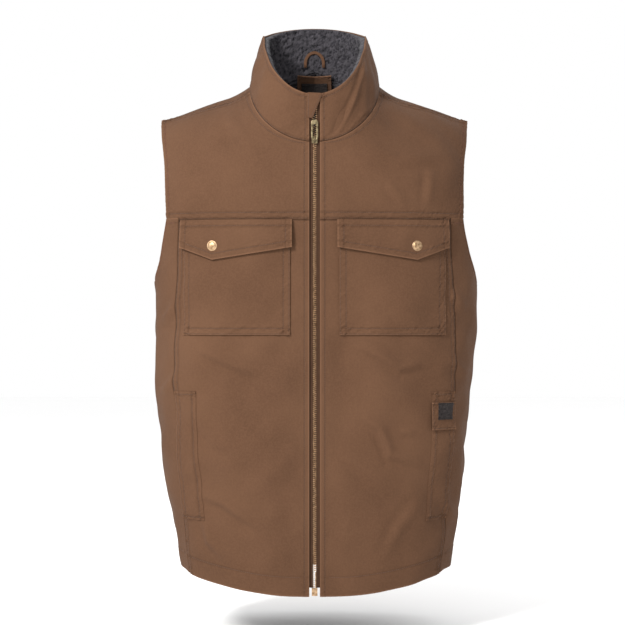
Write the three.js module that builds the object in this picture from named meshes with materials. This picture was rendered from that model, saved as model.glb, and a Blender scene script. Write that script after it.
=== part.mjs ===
// Insulated canvas work vest with a stand-up collar, a brass front zip, two chest pockets with
// snapped flaps, and two hand pockets in the side seams. Millimetres, +Z up, front towards -Y,
// the wearer's left towards +X. The origin is the middle of the neck opening, at the height
// where the shoulders meet the collar.
import * as THREE from 'three';

// ---- torso ----
const CHEST_HALF_WIDTH = 239;
const HEM_HALF_WIDTH = 189;
const FRONT_DEPTH = 140;
const BACK_DEPTH = 125;
const SECTION_POWER = 2.8;
const TAPER_POWER = 2.1;
const FRONT_DROP = 736;
const SIDE_HEM_RISE = 32;
const BACK_HEM_RISE = 8;
// ---- shoulders and armholes ----
const SHOULDER_TIP_X = 227;
const SHOULDER_TIP_DROP = 50;
const SHOULDER_ROUND = 150;
const UNDERARM_DROP = 289;
const ARMHOLE_NARROW_X = 213;
const ARMHOLE_CORNER_POWER = 3.8;
const ARMHOLE_UPPER_POWER = 1.5;
const YOKE_DROP = 200;
const SEAM_TIP_DROP = 3;
const SEAM_NECK_TURN = 81 * Math.PI / 180;
// ---- neck and collar ----
const NECK_HALF_WIDTH = 95;
const NECK_FRONT_DROP = 95;
const NECK_BACK_DEPTH = 70;
const NECK_RISE = 44;
const NECK_SPREAD = 130;
const COLLAR_TOP_HALF_WIDTH = 75;
const COLLAR_FRONT_TOP = -27;
const COLLAR_SIDE_TOP = 76;
const COLLAR_BACK_TOP = 97;
const COLLAR_BACK_DEPTH = 62;
const COLLAR_POWER = 3;
// ---- cloth ----
const CANVAS = 1.6;
const PILE = 5.4;
const PLY_GAP = 0.3;
const SEAM_GAP = 0.3;
const COLLAR_SEAM_GAP = 1.8;
const LINING_LEVEL = -2 * CANVAS - 2;
const COLLAR_LINING_LEVEL = -CANVAS - 1.8;
const FACING_LEVEL = -CANVAS - 2;
const TRIM_LEVEL = -CANVAS - 1.4;
const FACING_WIDTH = 45;
const HEM_TURN = 27;
const ARMHOLE_FACING = 10;
const ARMHOLE_FACING_LEVEL = -CANVAS - 2.1;
const ARMHOLE_FACING_THICK = 1;
// ---- zip ----
const FRONT_EDGE_X = 7.5;
const TOOTH_REACH = 3;
const TOOTH_THICK = 3.2;
const TAPE_EDGE_X = 12;
const TAPE_THICK = 0.8;
const ZIP_LEVEL = -3;
const ZIP_TOP = -33;
const ZIP_CLEARANCE = 0.3;
const SLIDER_Z = -92;
const SLIDER_LENGTH = 10.5;
const SLIDER_HALF_WIDTH = 4.7;
const PLATE = 1.5;
const PULL_LENGTH = 28;
const PULL_WIDTH = 10;
const PULL_THICK = 1.8;
const BOX_HEIGHT = 11;
const PIN_RADIUS = 0.8;
const PIN_LENGTH = 34;
// ---- chest pockets ----
const POCKET_INNER_X = 35;
const POCKET_OUTER_X = 186;
const POCKET_TOP = -206;
const POCKET_BOTTOM = -367;
const FLAP_OVERHANG = 3;
const FLAP_TOP = -204;
const FLAP_CORNER = -243;
const FLAP_POINT = -261;
const SNAP_X = 143;
const SNAP_Z = -241;
const FLAP_LIFT = 5.3;
const CAP_RADIUS = 7.5;
const SOCKET_RADIUS = 5;
const STUD_RADIUS = 1.9;
// ---- hand pockets ----
const SEAM_TOP_INSET = 19.4;
const SEAM_SHARE_TOP = (ARMHOLE_NARROW_X - SEAM_TOP_INSET) / CHEST_HALF_WIDTH;
const SEAM_SHARE_HEM = 0.93;
const WELT_TOP = -448;
const WELT_BOTTOM = -632;
const WELT_WIDTH = 33;
const BAG_WIDTH = 120;
const BAG_DEPTH = 60;
const HAND_SNAP_Z = -556;
const HAND_SNAP_RADIUS = 6.5;
const HAND_SNAP_THICK = 0.6;
const HAND_SNAP_LEVEL = -CANVAS - HAND_SNAP_THICK - 1.2;
const LABEL_SIZE = [20, 24];
const LABEL_Z = -479;
const LABEL_THICK = 0.6;
// ---- back neck ----
const PATCH_HALF_WIDTH = 31.5;
const PATCH_TOP = 34;
const PATCH_BOTTOM = -4;
const PATCH_STAND = 1.8;
const NECK_LABEL_HALF_WIDTH = 25;
const NECK_LABEL_TOP = 24;
const NECK_LABEL_BOTTOM = 5;
const LOOP_HALF_WIDTH = 16;
const LOOP_HEIGHT = 19;
const LOOP_TAPE = 4.5;
const LOOP_THICK = 1.4;
const LOOP_FOOT_Z = 43;
const LOOP_STAND = 3.5;

const HALF_TURN = Math.PI;
const QUARTER = Math.PI / 2;
const FRONT_Y = -FRONT_DEPTH;
const LEFT = 1;
const RIGHT = -1;
const lerp = (a, b, t) => a + (b - a) * t;
const vec = (x, y, z) => new THREE.Vector3(x, y, z);

// ---- materials ----
function paint(color, roughness, metalness = 0) {
  return () => new THREE.MeshStandardMaterial({ color, roughness, metalness });
}
const canvas = paint(0x7c5c47, 0.9);
const sherpa = paint(0x323036, 1);
const brass = paint(0xc4a482, 0.35, 1);
const darkBrass = paint(0x82785f, 0.4, 1);
const woven = paint(0x282424, 0.8);
const tapeCloth = paint(0x6a4c39, 0.85);

// ---- the torso's outer face ----
function halfWidth(z) {
  const below = THREE.MathUtils.clamp((-UNDERARM_DROP - z) / (FRONT_DROP - UNDERARM_DROP), 0, 1);
  return lerp(CHEST_HALF_WIDTH, HEM_HALF_WIDTH, below ** TAPER_POWER);
}

function neckSwell(x) {
  const near = Math.max(0, 1 - (x / NECK_SPREAD) ** 2);
  return NECK_RISE * near * near;
}

// Height of the shoulder ridge over a given x.
function ridge(x) {
  const reach = SHOULDER_TIP_X - NECK_HALF_WIDTH;
  const slope = (SHOULDER_TIP_DROP - neckSwell(NECK_HALF_WIDTH)) / reach;
  return -SHOULDER_TIP_DROP + (SHOULDER_TIP_X - Math.abs(x)) * slope + neckSwell(x);
}

function fullness(x, z) {
  const share = Math.min(1, Math.abs(x) / halfWidth(z));
  return (1 - share ** SECTION_POWER) ** (1 / SECTION_POWER);
}

// How far round the shoulder a point is: 0 where the chest starts to turn, a quarter turn at
// the ridge, a half turn where the back is upright again.
function turnAt(x, z) {
  const rise = z - (ridge(x) - SHOULDER_ROUND);
  if (rise < 0) {
    return rise / SHOULDER_ROUND;
  }
  return Math.asin(Math.min(1, rise / SHOULDER_ROUND));
}

function over(x, turn) {
  const spring = ridge(x) - SHOULDER_ROUND;
  const inside = THREE.MathUtils.clamp(turn, 0, HALF_TURN);
  const z = spring + SHOULDER_ROUND * (Math.sin(inside) - Math.abs(turn - inside));
  const depth = turn < QUARTER ? FRONT_DEPTH : BACK_DEPTH;
  return vec(x, -depth * fullness(x, z) * Math.cos(inside), z);
}

const frontAt = (x, z) => over(x, turnAt(x, z));
const backAt = (x, z) => over(x, HALF_TURN - turnAt(x, z));

// A point of the body at an angle round it, 0 at the centre front and a half turn at the back.
function around(angle, z) {
  const width = halfWidth(z);
  const depth = Math.cos(angle) > 0 ? FRONT_DEPTH : BACK_DEPTH;
  const across = (Math.abs(Math.sin(angle)) / width) ** SECTION_POWER;
  const along = (Math.abs(Math.cos(angle)) / depth) ** SECTION_POWER;
  const radius = (across + along) ** (-1 / SECTION_POWER);
  const x = radius * Math.sin(angle);
  const fade = Math.cos(Math.max(0, turnAt(x, z)));
  return vec(x, -radius * Math.cos(angle) * fade, z);
}

function angleOf(x, z, depth) {
  const share = Math.min(1, Math.abs(x) / halfWidth(z));
  return Math.atan2(Math.abs(x), depth * (1 - share ** SECTION_POWER) ** (1 / SECTION_POWER));
}
const frontAngle = (x, z) => angleOf(x, z, FRONT_DEPTH);
const backAngle = (x, z) => HALF_TURN - angleOf(x, z, BACK_DEPTH);

function hemEdge(angle) {
  const side = Math.abs(Math.sin(angle)) ** 3;
  const rear = Math.cos(angle) < 0 ? -Math.cos(angle) : 0;
  return -FRONT_DROP + SIDE_HEM_RISE * side + BACK_HEM_RISE * rear;
}

// The upper edge of the body below the yokes: level under them, dipping under the arm.
function topEdge(angle) {
  const ahead = angle < QUARTER;
  const corner = ahead ? frontAngle(ARMHOLE_NARROW_X, -YOKE_DROP) : backAngle(ARMHOLE_NARROW_X, -YOKE_DROP);
  const share = Math.min(1, Math.abs(angle - QUARTER) / Math.abs(corner - QUARTER));
  return lerp(-UNDERARM_DROP, -YOKE_DROP, share ** ARMHOLE_CORNER_POWER);
}

// Seams between the front or back panel and the side panel move round the side towards the hem.
function seamShare(z) {
  const down = THREE.MathUtils.clamp((-YOKE_DROP - z) / (FRONT_DROP - YOKE_DROP), 0, 1);
  return lerp(SEAM_SHARE_TOP, SEAM_SHARE_HEM, down);
}
const seamX = (z) => seamShare(z) * halfWidth(z);
const frontSeam = (z) => frontAngle(seamX(z), z);
const backSeam = (z) => backAngle(seamX(z), z);

// ---- solids ----
function solid(name, geometry, material) {
  const mesh = new THREE.Mesh(geometry, material());
  mesh.name = name;
  return mesh;
}

function signedVolume(points, faces) {
  let total = 0;
  for (const [a, b, c] of faces) {
    total += points[a].dot(points[b].clone().cross(points[c]));
  }
  return total;
}

function closedMesh(points, faces) {
  const outward = signedVolume(points, faces) > 0;
  const geometry = new THREE.BufferGeometry();
  const flat = points.flatMap((p) => [p.x, p.y, p.z]);
  const index = faces.flatMap(([a, b, c]) => (outward ? [a, b, c] : [a, c, b]));
  geometry.setAttribute('position', new THREE.Float32BufferAttribute(flat, 3));
  geometry.setIndex(index);
  geometry.computeVertexNormals();
  return geometry;
}

// Outward normal of a face given by place(u, v).
function normalOf(place, u, v) {
  const step = 1e-4;
  const du = u < 0.5 ? step : -step;
  const dv = v < 0.5 ? step : -step;
  const here = place(u, v);
  const alongU = place(u + du, v).sub(here).multiplyScalar(Math.sign(du));
  const alongV = place(u, v + dv).sub(here).multiplyScalar(Math.sign(dv));
  const normal = alongU.cross(alongV).normalize();
  const outward = vec(here.x / 2, here.y * 0.7, 40);
  return normal.dot(outward) < 0 ? normal.negate() : normal;
}

function spanOf(place, first, last) {
  return place(...first).distanceTo(place(...last));
}

// A cloth solid between two levels over the face place(u, v). Its edges stay half a seam gap
// inside the face, so that neighbours never touch. A ring closes on itself along v.
function cloth(place, columns, rows, inner, outer, options = {}) {
  const { gapU = SEAM_GAP, gapV = SEAM_GAP, ring = false, lift = () => 0 } = options;
  const edgeU = gapU / 2 / spanOf(place, [0, 0.5], [1, 0.5]);
  const edgeV = ring ? 0 : gapV / 2 / spanOf(place, [0.5, 0], [0.5, 1]);
  const points = [];
  const lines = ring ? rows : rows + 1;
  for (const level of [inner, outer]) {
    for (let j = 0; j < lines; j += 1) {
      for (let i = 0; i <= columns; i += 1) {
        const u = lerp(edgeU, 1 - edgeU, i / columns);
        const v = lerp(edgeV, 1 - edgeV, j / rows);
        const normal = normalOf(place, u, v);
        points.push(place(u, v).addScaledVector(normal, level + lift(u, v)));
      }
    }
  }
  const width = columns + 1;
  const layer = width * lines;
  const at = (i, j) => (j % lines) * width + i;
  const faces = [];
  const quad = (a, b, c, d) => faces.push([a, b, c], [a, c, d]);
  for (let j = 0; j < rows; j += 1) {
    for (let i = 0; i < columns; i += 1) {
      quad(at(i, j), at(i, j + 1), at(i + 1, j + 1), at(i + 1, j));
      quad(layer + at(i, j), layer + at(i + 1, j), layer + at(i + 1, j + 1), layer + at(i, j + 1));
    }
    quad(at(0, j), layer + at(0, j), layer + at(0, j + 1), at(0, j + 1));
    quad(at(columns, j), at(columns, j + 1), layer + at(columns, j + 1), layer + at(columns, j));
  }
  for (let i = 0; i < columns && !ring; i += 1) {
    quad(at(i, 0), at(i + 1, 0), layer + at(i + 1, 0), layer + at(i, 0));
    quad(at(i, rows), layer + at(i, rows), layer + at(i + 1, rows), at(i + 1, rows));
  }
  return closedMesh(points, faces);
}

// A four-sided face filled between its edges, each a function from 0 to 1 giving [x, turn].
function between(bottom, top, start, finish) {
  return (u, v) => {
    const mix = [0, 1].map((k) => {
      const sides = lerp(start(v)[k], finish(v)[k], u) + lerp(bottom(u)[k], top(u)[k], v);
      const low = lerp(bottom(0)[k], bottom(1)[k], u);
      const high = lerp(top(0)[k], top(1)[k], u);
      return sides - lerp(low, high, v);
    });
    return over(mix[0], mix[1]);
  };
}

// Walks a curve at an even pace between two parameter values.
function evenly(curve, from, to) {
  const steps = 400;
  const stations = [0];
  for (let i = 1; i <= steps; i += 1) {
    const a = curve(lerp(from, to, (i - 1) / steps));
    const b = curve(lerp(from, to, i / steps));
    stations.push(stations[i - 1] + a.distanceTo(b));
  }
  const total = stations[steps];
  return (share) => {
    const goal = THREE.MathUtils.clamp(share, 0, 1) * total;
    let i = 1;
    while (i < steps && stations[i] < goal) {
      i += 1;
    }
    const part = (goal - stations[i - 1]) / (stations[i] - stations[i - 1]);
    return lerp(from, to, (i - 1 + part) / steps);
  };
}

// ---- neckline and collar ----
// The neckline as [x, turn] at an angle round the neck, 0 at the centre front.
function neckline(angle) {
  const x = NECK_HALF_WIDTH * Math.sin(angle);
  if (Math.cos(angle) >= 0) {
    return [x, turnAt(x, -NECK_FRONT_DROP * Math.cos(angle))];
  }
  const depth = -NECK_BACK_DEPTH * Math.cos(angle);
  const room = BACK_DEPTH * fullness(x, ridge(x));
  return [x, QUARTER + Math.asin(Math.min(1, depth / room))];
}
const neckPoint = (angle) => over(...neckline(angle));

function collarTop(angle) {
  const x = COLLAR_TOP_HALF_WIDTH * Math.sin(angle);
  const lean = (1 - Math.abs(Math.sin(angle)) ** COLLAR_POWER) ** (1 / COLLAR_POWER);
  if (Math.cos(angle) >= 0) {
    const z = lerp(COLLAR_SIDE_TOP, COLLAR_FRONT_TOP, Math.cos(angle));
    return vec(x, -FRONT_DEPTH * lean, z);
  }
  return vec(x, COLLAR_BACK_DEPTH * lean, lerp(COLLAR_SIDE_TOP, COLLAR_BACK_TOP, -Math.cos(angle)));
}

function collarFace(startX, low, high) {
  const base = Math.asin(startX / NECK_HALF_WIDTH);
  const tip = Math.asin(startX / COLLAR_TOP_HALF_WIDTH);
  const lowPace = evenly(neckPoint, base, 2 * Math.PI - base);
  const highPace = evenly(collarTop, tip, 2 * Math.PI - tip);
  return (u, v) => {
    const foot = neckPoint(lowPace(u));
    const rim = collarTop(highPace(u));
    return foot.lerp(rim, lerp(low, high, v));
  };
}

// ---- yokes ----
const backYokeColumns = 22;
const seamTipTurn = turnAt(SHOULDER_TIP_X, ridge(SHOULDER_TIP_X) - SEAM_TIP_DROP);

function shoulderSeam(side) {
  const [neckX, neckTurn] = neckline(SEAM_NECK_TURN);
  return (t) => [side * lerp(neckX, SHOULDER_TIP_X, t), lerp(neckTurn, seamTipTurn, t)];
}

function armholeX(z) {
  const up = THREE.MathUtils.clamp((z + YOKE_DROP) / (YOKE_DROP - SHOULDER_TIP_DROP), 0, 1);
  return lerp(ARMHOLE_NARROW_X, SHOULDER_TIP_X, up ** ARMHOLE_UPPER_POWER);
}

function armholeFrontEdge(side) {
  const tipZ = over(SHOULDER_TIP_X, seamTipTurn).z;
  return (t) => {
    const z = lerp(-YOKE_DROP, tipZ, t);
    return [side * armholeX(z), turnAt(armholeX(z), z)];
  };
}

function armholeBackEdge(side) {
  const low = HALF_TURN - turnAt(ARMHOLE_NARROW_X, -YOKE_DROP);
  return (t) => {
    const turn = lerp(low, seamTipTurn, t);
    const share = Math.max(0, Math.sin(Math.min(turn, QUARTER * 2)));
    const x = lerp(ARMHOLE_NARROW_X, SHOULDER_TIP_X, turn < QUARTER ? 1 : share ** ARMHOLE_UPPER_POWER);
    return [side * x, turn];
  };
}

function frontYokeFace(side, startX) {
  const from = Math.asin(startX / NECK_HALF_WIDTH);
  const pace = evenly(neckPoint, from, SEAM_NECK_TURN);
  const straight = YOKE_DROP - NECK_FRONT_DROP;
  const curve = NECK_HALF_WIDTH * QUARTER;
  const share = straight / (straight + curve);
  const centre = (v) => {
    if (v < share) {
      const z = lerp(-YOKE_DROP, -NECK_FRONT_DROP * Math.cos(from), v / share);
      return [side * startX, turnAt(startX, z)];
    }
    const [x, turn] = neckline(pace((v - share) / (1 - share)));
    return [side * x, turn];
  };
  const bottom = (u) => {
    const x = lerp(startX, ARMHOLE_NARROW_X, u);
    return [side * x, turnAt(x, -YOKE_DROP)];
  };
  return between(bottom, shoulderSeam(side), centre, armholeFrontEdge(side));
}

function backYokeFace() {
  const shoulder = 6 / backYokeColumns;
  const leftNeck = evenly(neckPoint, SEAM_NECK_TURN, 2 * Math.PI - SEAM_NECK_TURN);
  const top = (u) => {
    if (u < shoulder) {
      return shoulderSeam(LEFT)(1 - u / shoulder);
    }
    if (u > 1 - shoulder) {
      return shoulderSeam(RIGHT)((u - 1 + shoulder) / shoulder);
    }
    return neckline(leftNeck((u - shoulder) / (1 - 2 * shoulder)));
  };
  const bottom = (u) => {
    const x = lerp(ARMHOLE_NARROW_X, -ARMHOLE_NARROW_X, u);
    return [x, HALF_TURN - turnAt(x, -YOKE_DROP)];
  };
  return between(bottom, top, armholeBackEdge(LEFT), armholeBackEdge(RIGHT));
}

// ---- body panels ----
// A face of the body between two seams given as angles that depend on the height.
function bodyFace(side, fromSeam, toSeam, low = 0) {
  return (u, v) => {
    const level = lerp(-FRONT_DROP, -YOKE_DROP, v);
    const angle = lerp(fromSeam(level), toSeam(level), u);
    const z = lerp(hemEdge(angle) + low, topEdge(angle), v);
    return around(side * angle, z);
  };
}

const yokeRows = 8;
const bodyRows = 8;
const vest = new THREE.Group();

function addShell() {
  const frontEdge = (z) => frontAngle(FRONT_EDGE_X, z);
  for (const [side, tag] of [[RIGHT, 'right'], [LEFT, 'left']]) {
    vest.add(solid(`front_panel_${tag}`,
      cloth(bodyFace(side, frontEdge, frontSeam), 8, bodyRows, -CANVAS, 0), canvas));
    vest.add(solid(`side_panel_${tag}`,
      cloth(bodyFace(side, frontSeam, backSeam), 18, bodyRows, -CANVAS, 0), canvas));
    vest.add(solid(`front_yoke_${tag}`,
      cloth(frontYokeFace(side, FRONT_EDGE_X), 10, yokeRows, -CANVAS, 0), canvas));
  }
  const toRight = (z) => 2 * Math.PI - backSeam(z);
  const backFace = (u, v) => {
    const level = lerp(-FRONT_DROP, -YOKE_DROP, v);
    const angle = lerp(backSeam(level), toRight(level), u);
    return around(angle, lerp(hemEdge(angle), -YOKE_DROP, v));
  };
  vest.add(solid('back_panel', cloth(backFace, 16, bodyRows, -CANVAS, 0), canvas));
  vest.add(solid('back_yoke', cloth(backYokeFace(), backYokeColumns, 12, -CANVAS, 0), canvas));
}


// ---- linings and facings, inside the shell ----
function addLinings() {
  const inner = LINING_LEVEL - PILE;
  const facingEdge = (z) => frontAngle(FACING_WIDTH, z);
  const side = () => QUARTER;
  const overHem = HEM_TURN + PLY_GAP;
  for (const [hand, tag] of [[RIGHT, 'right'], [LEFT, 'left']]) {
    vest.add(solid(`lining_${tag}`,
      cloth(bodyFace(hand, facingEdge, side, overHem), 8, 6, inner, LINING_LEVEL), sherpa));
    vest.add(solid(`yoke_lining_${tag}`,
      cloth(shrunk(frontYokeFace(hand, FRONT_EDGE_X), 0.22, 0.08, 0.06), 5, 6, inner, LINING_LEVEL), sherpa));
    const front = (u, v) => {
      const low = -FRONT_DROP + PLY_GAP;
      return frontAt(hand * lerp(FRONT_EDGE_X, FACING_WIDTH, u), lerp(low, -NECK_FRONT_DROP - HEM_TURN, v));
    };
    vest.add(solid(`front_facing_${tag}`,
      cloth(front, 2, 3, FACING_LEVEL - CANVAS, FACING_LEVEL), canvas));
    vest.add(solid(`armhole_facing_${tag}`, armholeFacing(hand), canvas));
  }
  const backFace = (u, v) => {
    const angle = lerp(QUARTER, 3 * QUARTER, u);
    const mirrored = angle > HALF_TURN ? 2 * HALF_TURN - angle : angle;
    return around(angle, lerp(hemEdge(angle) + overHem, topEdge(mirrored), v));
  };
  vest.add(solid('lining_back', cloth(backFace, 16, 6, inner, LINING_LEVEL), sherpa));
  vest.add(solid('yoke_lining_back',
    cloth(shrunk(backYokeFace(), 0.05, 0.05, 0.06), 20, 12, inner, LINING_LEVEL), sherpa));
  const hemFace = (u, v) => {
    const start = frontAngle(FACING_WIDTH + HEM_TURN, -FRONT_DROP);
    const angle = lerp(start, 2 * HALF_TURN - start, u);
    const z = hemEdge(angle) + lerp(PLY_GAP, HEM_TURN, v);
    return around(angle, z);
  };
  vest.add(solid('hem_facing', cloth(hemFace, 30, 1, TRIM_LEVEL - CANVAS, TRIM_LEVEL), canvas));
}

// The same face drawn in from its edges, by shares of its width and height.
function shrunk(face, startShare, endShare, upShare) {
  return (u, v) => face(lerp(startShare, 1 - endShare, u), lerp(0, 1 - upShare, v));
}

// The armhole's edge as a closed loop: up the front, over the shoulder, down the back, under the arm.
function armholePoint(hand, t) {
  const frontCorner = frontAngle(ARMHOLE_NARROW_X, -YOKE_DROP);
  const backCorner = backAngle(ARMHOLE_NARROW_X, -YOKE_DROP);
  const turn = t - Math.floor(t);
  if (turn < 0.3) {
    return over(...armholeFrontEdge(hand)(turn / 0.3));
  }
  if (turn < 0.65) {
    return over(...armholeBackEdge(hand)(1 - (turn - 0.3) / 0.35));
  }
  const share = (turn - 0.65) / 0.35;
  const swing = lerp(-1, 1, share);
  const eased = (swing + swing ** 3) / 2;
  const half = (backCorner - frontCorner) / 2;
  const angle = (backCorner + frontCorner) / 2 - eased * half;
  return around(hand * angle, topEdge(angle));
}

function armholeFacing(hand) {
  const pace = evenly((t) => armholePoint(hand, t), 0, 1);
  const loop = (s) => armholePoint(hand, pace(s - Math.floor(s)));
  const face = (u, v) => {
    const here = loop(v);
    const along = loop(v + 0.004).sub(loop(v - 0.004)).normalize();
    const outward = bodyNormal(here);
    const into = outward.cross(along).normalize();
    const towardBody = vec(-hand, 0, 0).addScaledVector(vec(0, 0, -1), here.z < -YOKE_DROP ? 2 : 0);
    if (into.dot(towardBody) < 0) {
      into.negate();
    }
    return here.addScaledVector(into, lerp(1, ARMHOLE_FACING, u));
  };
  const inner = ARMHOLE_FACING_LEVEL - ARMHOLE_FACING_THICK;
  return cloth(face, 1, 40, inner, ARMHOLE_FACING_LEVEL, { ring: true, gapU: 0.1 });
}

// Outward normal of the torso at a point on it.
function bodyNormal(point) {
  const step = 0.5;
  const upper = point.z > ridge(point.x) - SHOULDER_ROUND;
  const level = (x, y, z) => {
    const spring = ridge(x) - SHOULDER_ROUND;
    const depth = y < 0 ? FRONT_DEPTH : BACK_DEPTH;
    const rise = upper ? Math.max(0, (z - spring) / SHOULDER_ROUND) : 0;
    const round = (Math.abs(y) / depth) / Math.sqrt(Math.max(1e-4, 1 - rise * rise));
    return (Math.abs(x) / halfWidth(z)) ** SECTION_POWER + round ** SECTION_POWER + rise * rise;
  };
  const { x, y, z } = point;
  return vec(
    level(x + step, y, z) - level(x - step, y, z),
    level(x, y + step, z) - level(x, y - step, z),
    level(x, y, z + step) - level(x, y, z - step),
  ).normalize();
}

// ---- collar ----
function addCollar() {
  const options = { gapV: COLLAR_SEAM_GAP * 2 };
  vest.add(solid('collar_shell',
    cloth(collarFace(FRONT_EDGE_X, 0, 1), 30, 3, -CANVAS, 0, options), canvas));
  vest.add(solid('collar_lining',
    cloth(collarFace(TAPE_EDGE_X + 4, 0.08, 0.98), 30, 2, COLLAR_LINING_LEVEL - PILE, COLLAR_LINING_LEVEL, options), sherpa));
}

// ---- chest pockets ----
function pocketAcross(inner, outer) {
  const turn = (SNAP_X - POCKET_INNER_X) / (POCKET_OUTER_X - POCKET_INNER_X);
  return (u) => (u < turn ? lerp(inner, SNAP_X, u / turn) : lerp(SNAP_X, outer, (u - turn) / (1 - turn)));
}

function flapFace(hand) {
  const across = pocketAcross(POCKET_INNER_X - FLAP_OVERHANG, POCKET_OUTER_X + FLAP_OVERHANG);
  return (u, v) => {
    const x = across(u);
    const reach = x < SNAP_X
      ? (x - POCKET_INNER_X + FLAP_OVERHANG) / (SNAP_X - POCKET_INNER_X + FLAP_OVERHANG)
      : (POCKET_OUTER_X + FLAP_OVERHANG - x) / (POCKET_OUTER_X + FLAP_OVERHANG - SNAP_X);
    return frontAt(hand * x, lerp(lerp(FLAP_CORNER, FLAP_POINT, reach), FLAP_TOP, v));
  };
}

function chestNormal(x, z) {
  const step = 0.5;
  const across = frontAt(x + step, z).sub(frontAt(x - step, z));
  const up = frontAt(x, z + step).sub(frontAt(x, z - step));
  return across.cross(up).normalize();
}

// A turned piece set on the chest face at a level, its profile given as [radius, height] pairs.
function turned(profile, x, z, level) {
  const outline = profile.map(([radius, height]) => new THREE.Vector2(radius, height));
  const geometry = new THREE.LatheGeometry(outline, 20);
  const normal = chestNormal(x, z);
  geometry.applyQuaternion(new THREE.Quaternion().setFromUnitVectors(vec(0, 1, 0), normal));
  const place = frontAt(x, z).addScaledVector(normal, level);
  geometry.translate(place.x, place.y, place.z);
  return geometry;
}

function addChestPockets() {
  const columns = 14;
  const across = pocketAcross(POCKET_INNER_X, POCKET_OUTER_X);
  const pocketTop = PLY_GAP + CANVAS;
  const flapFoot = pocketTop + PLY_GAP;
  const lift = (u, v) => (FLAP_LIFT - flapFoot) * Math.min(1, (1 - v) * 2);
  const studFoot = pocketTop + PLY_GAP;
  for (const [hand, tag] of [[RIGHT, 'right'], [LEFT, 'left']]) {
    const pocketFace = (u, v) => frontAt(hand * across(u), lerp(POCKET_BOTTOM, POCKET_TOP, v));
    vest.add(solid(`chest_pocket_${tag}`, cloth(pocketFace, columns, 3, PLY_GAP, pocketTop), canvas));
    vest.add(solid(`chest_flap_${tag}`,
      cloth(flapFace(hand), columns, 2, flapFoot, flapFoot + CANVAS, { lift }), canvas));
    const x = hand * SNAP_X;
    const cap = [[0, 0], [CAP_RADIUS, 0], [CAP_RADIUS, 0.8], [CAP_RADIUS - 1, 1.6], [CAP_RADIUS - 4, 2.2], [0, 2.4]];
    vest.add(solid(`snap_cap_${tag}`, turned(cap, x, SNAP_Z, FLAP_LIFT + CANVAS + PLY_GAP), brass));
    const bore = STUD_RADIUS + PLY_GAP;
    const socketHeight = 1.4;
    const socketFoot = FLAP_LIFT - PLY_GAP - socketHeight;
    const socket = [[bore, 0], [SOCKET_RADIUS, 0], [SOCKET_RADIUS, socketHeight], [bore, socketHeight], [bore, 0]];
    vest.add(solid(`snap_socket_${tag}`, turned(socket, x, SNAP_Z, socketFoot), brass));
    const studPin = FLAP_LIFT - PLY_GAP - studFoot - 0.2;
    const stud = [[0, 0], [SOCKET_RADIUS, 0], [SOCKET_RADIUS, 0.6], [STUD_RADIUS, 0.6], [STUD_RADIUS, studPin], [0, studPin]];
    vest.add(solid(`snap_stud_${tag}`, turned(stud, x, SNAP_Z, studFoot), brass));
  }
}

// ---- hand pockets in the side seams ----
function addHandPockets() {
  const seamCurve = (hand, z, inset) => {
    const x = seamX(z) - inset;
    return around(hand * frontAngle(x, z), z);
  };
  for (const [hand, tag] of [[RIGHT, 'right'], [LEFT, 'left']]) {
    const welt = (u, v) => seamCurve(hand, lerp(WELT_BOTTOM, WELT_TOP, v), lerp(WELT_WIDTH, 1, u));
    vest.add(solid(`hand_pocket_welt_${tag}`, cloth(welt, 4, 8, PLY_GAP, PLY_GAP + CANVAS), canvas));
    const bag = (u, v) => seamCurve(hand, lerp(WELT_BOTTOM - BAG_DEPTH / 2, WELT_TOP, v), lerp(BAG_WIDTH, 4, u));
    vest.add(solid(`hand_pocket_bag_${tag}`, cloth(bag, 12, 4, FACING_LEVEL - 1.2, FACING_LEVEL), tapeCloth));
    const thick = HAND_SNAP_THICK;
    const snap = [[0, 0], [HAND_SNAP_RADIUS, 0], [HAND_SNAP_RADIUS, thick], [0, thick]];
    const z = HAND_SNAP_Z;
    const x = hand * (seamX(z) - WELT_WIDTH / 2);
    vest.add(solid(`hidden_snap_${tag}`, turned(snap, x, z, HAND_SNAP_LEVEL), darkBrass));
  }
  const labelFace = (u, v) => {
    const z = LABEL_Z + lerp(-0.5, 0.5, v) * LABEL_SIZE[1];
    return seamCurve(LEFT, z, lerp(LABEL_SIZE[0] + 6, 6, u));
  };
  const foot = PLY_GAP * 2 + CANVAS;
  vest.add(solid('pocket_label', cloth(labelFace, 3, 1, foot, foot + LABEL_THICK), woven));
}

// ---- zip ----
function block(x0, x1, y0, y1, z0, z1) {
  const geometry = new THREE.BoxGeometry(Math.abs(x1 - x0), Math.abs(y1 - y0), Math.abs(z1 - z0));
  return geometry.translate((x0 + x1) / 2, (y0 + y1) / 2, (z0 + z1) / 2);
}

// An outline in X and Z, extruded along Y from one depth to another.
function plate(outline, y0, y1, holes = []) {
  const shape = new THREE.Shape(outline.map(([x, z]) => new THREE.Vector2(x, z)));
  shape.holes = holes.map((hole) => new THREE.Path(hole.map(([x, z]) => new THREE.Vector2(x, z))));
  const geometry = new THREE.ExtrudeGeometry(shape, { depth: y1 - y0, bevelEnabled: false, curveSegments: 8 });
  geometry.rotateX(QUARTER);
  return geometry.translate(0, y1, 0);
}

// An outline in X and Y, extruded along Z.
function prism(outline, z0, z1) {
  const shape = new THREE.Shape(outline.map(([x, y]) => new THREE.Vector2(x, y)));
  const geometry = new THREE.ExtrudeGeometry(shape, { depth: z1 - z0, bevelEnabled: false });
  return geometry.translate(0, 0, z0);
}

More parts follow.
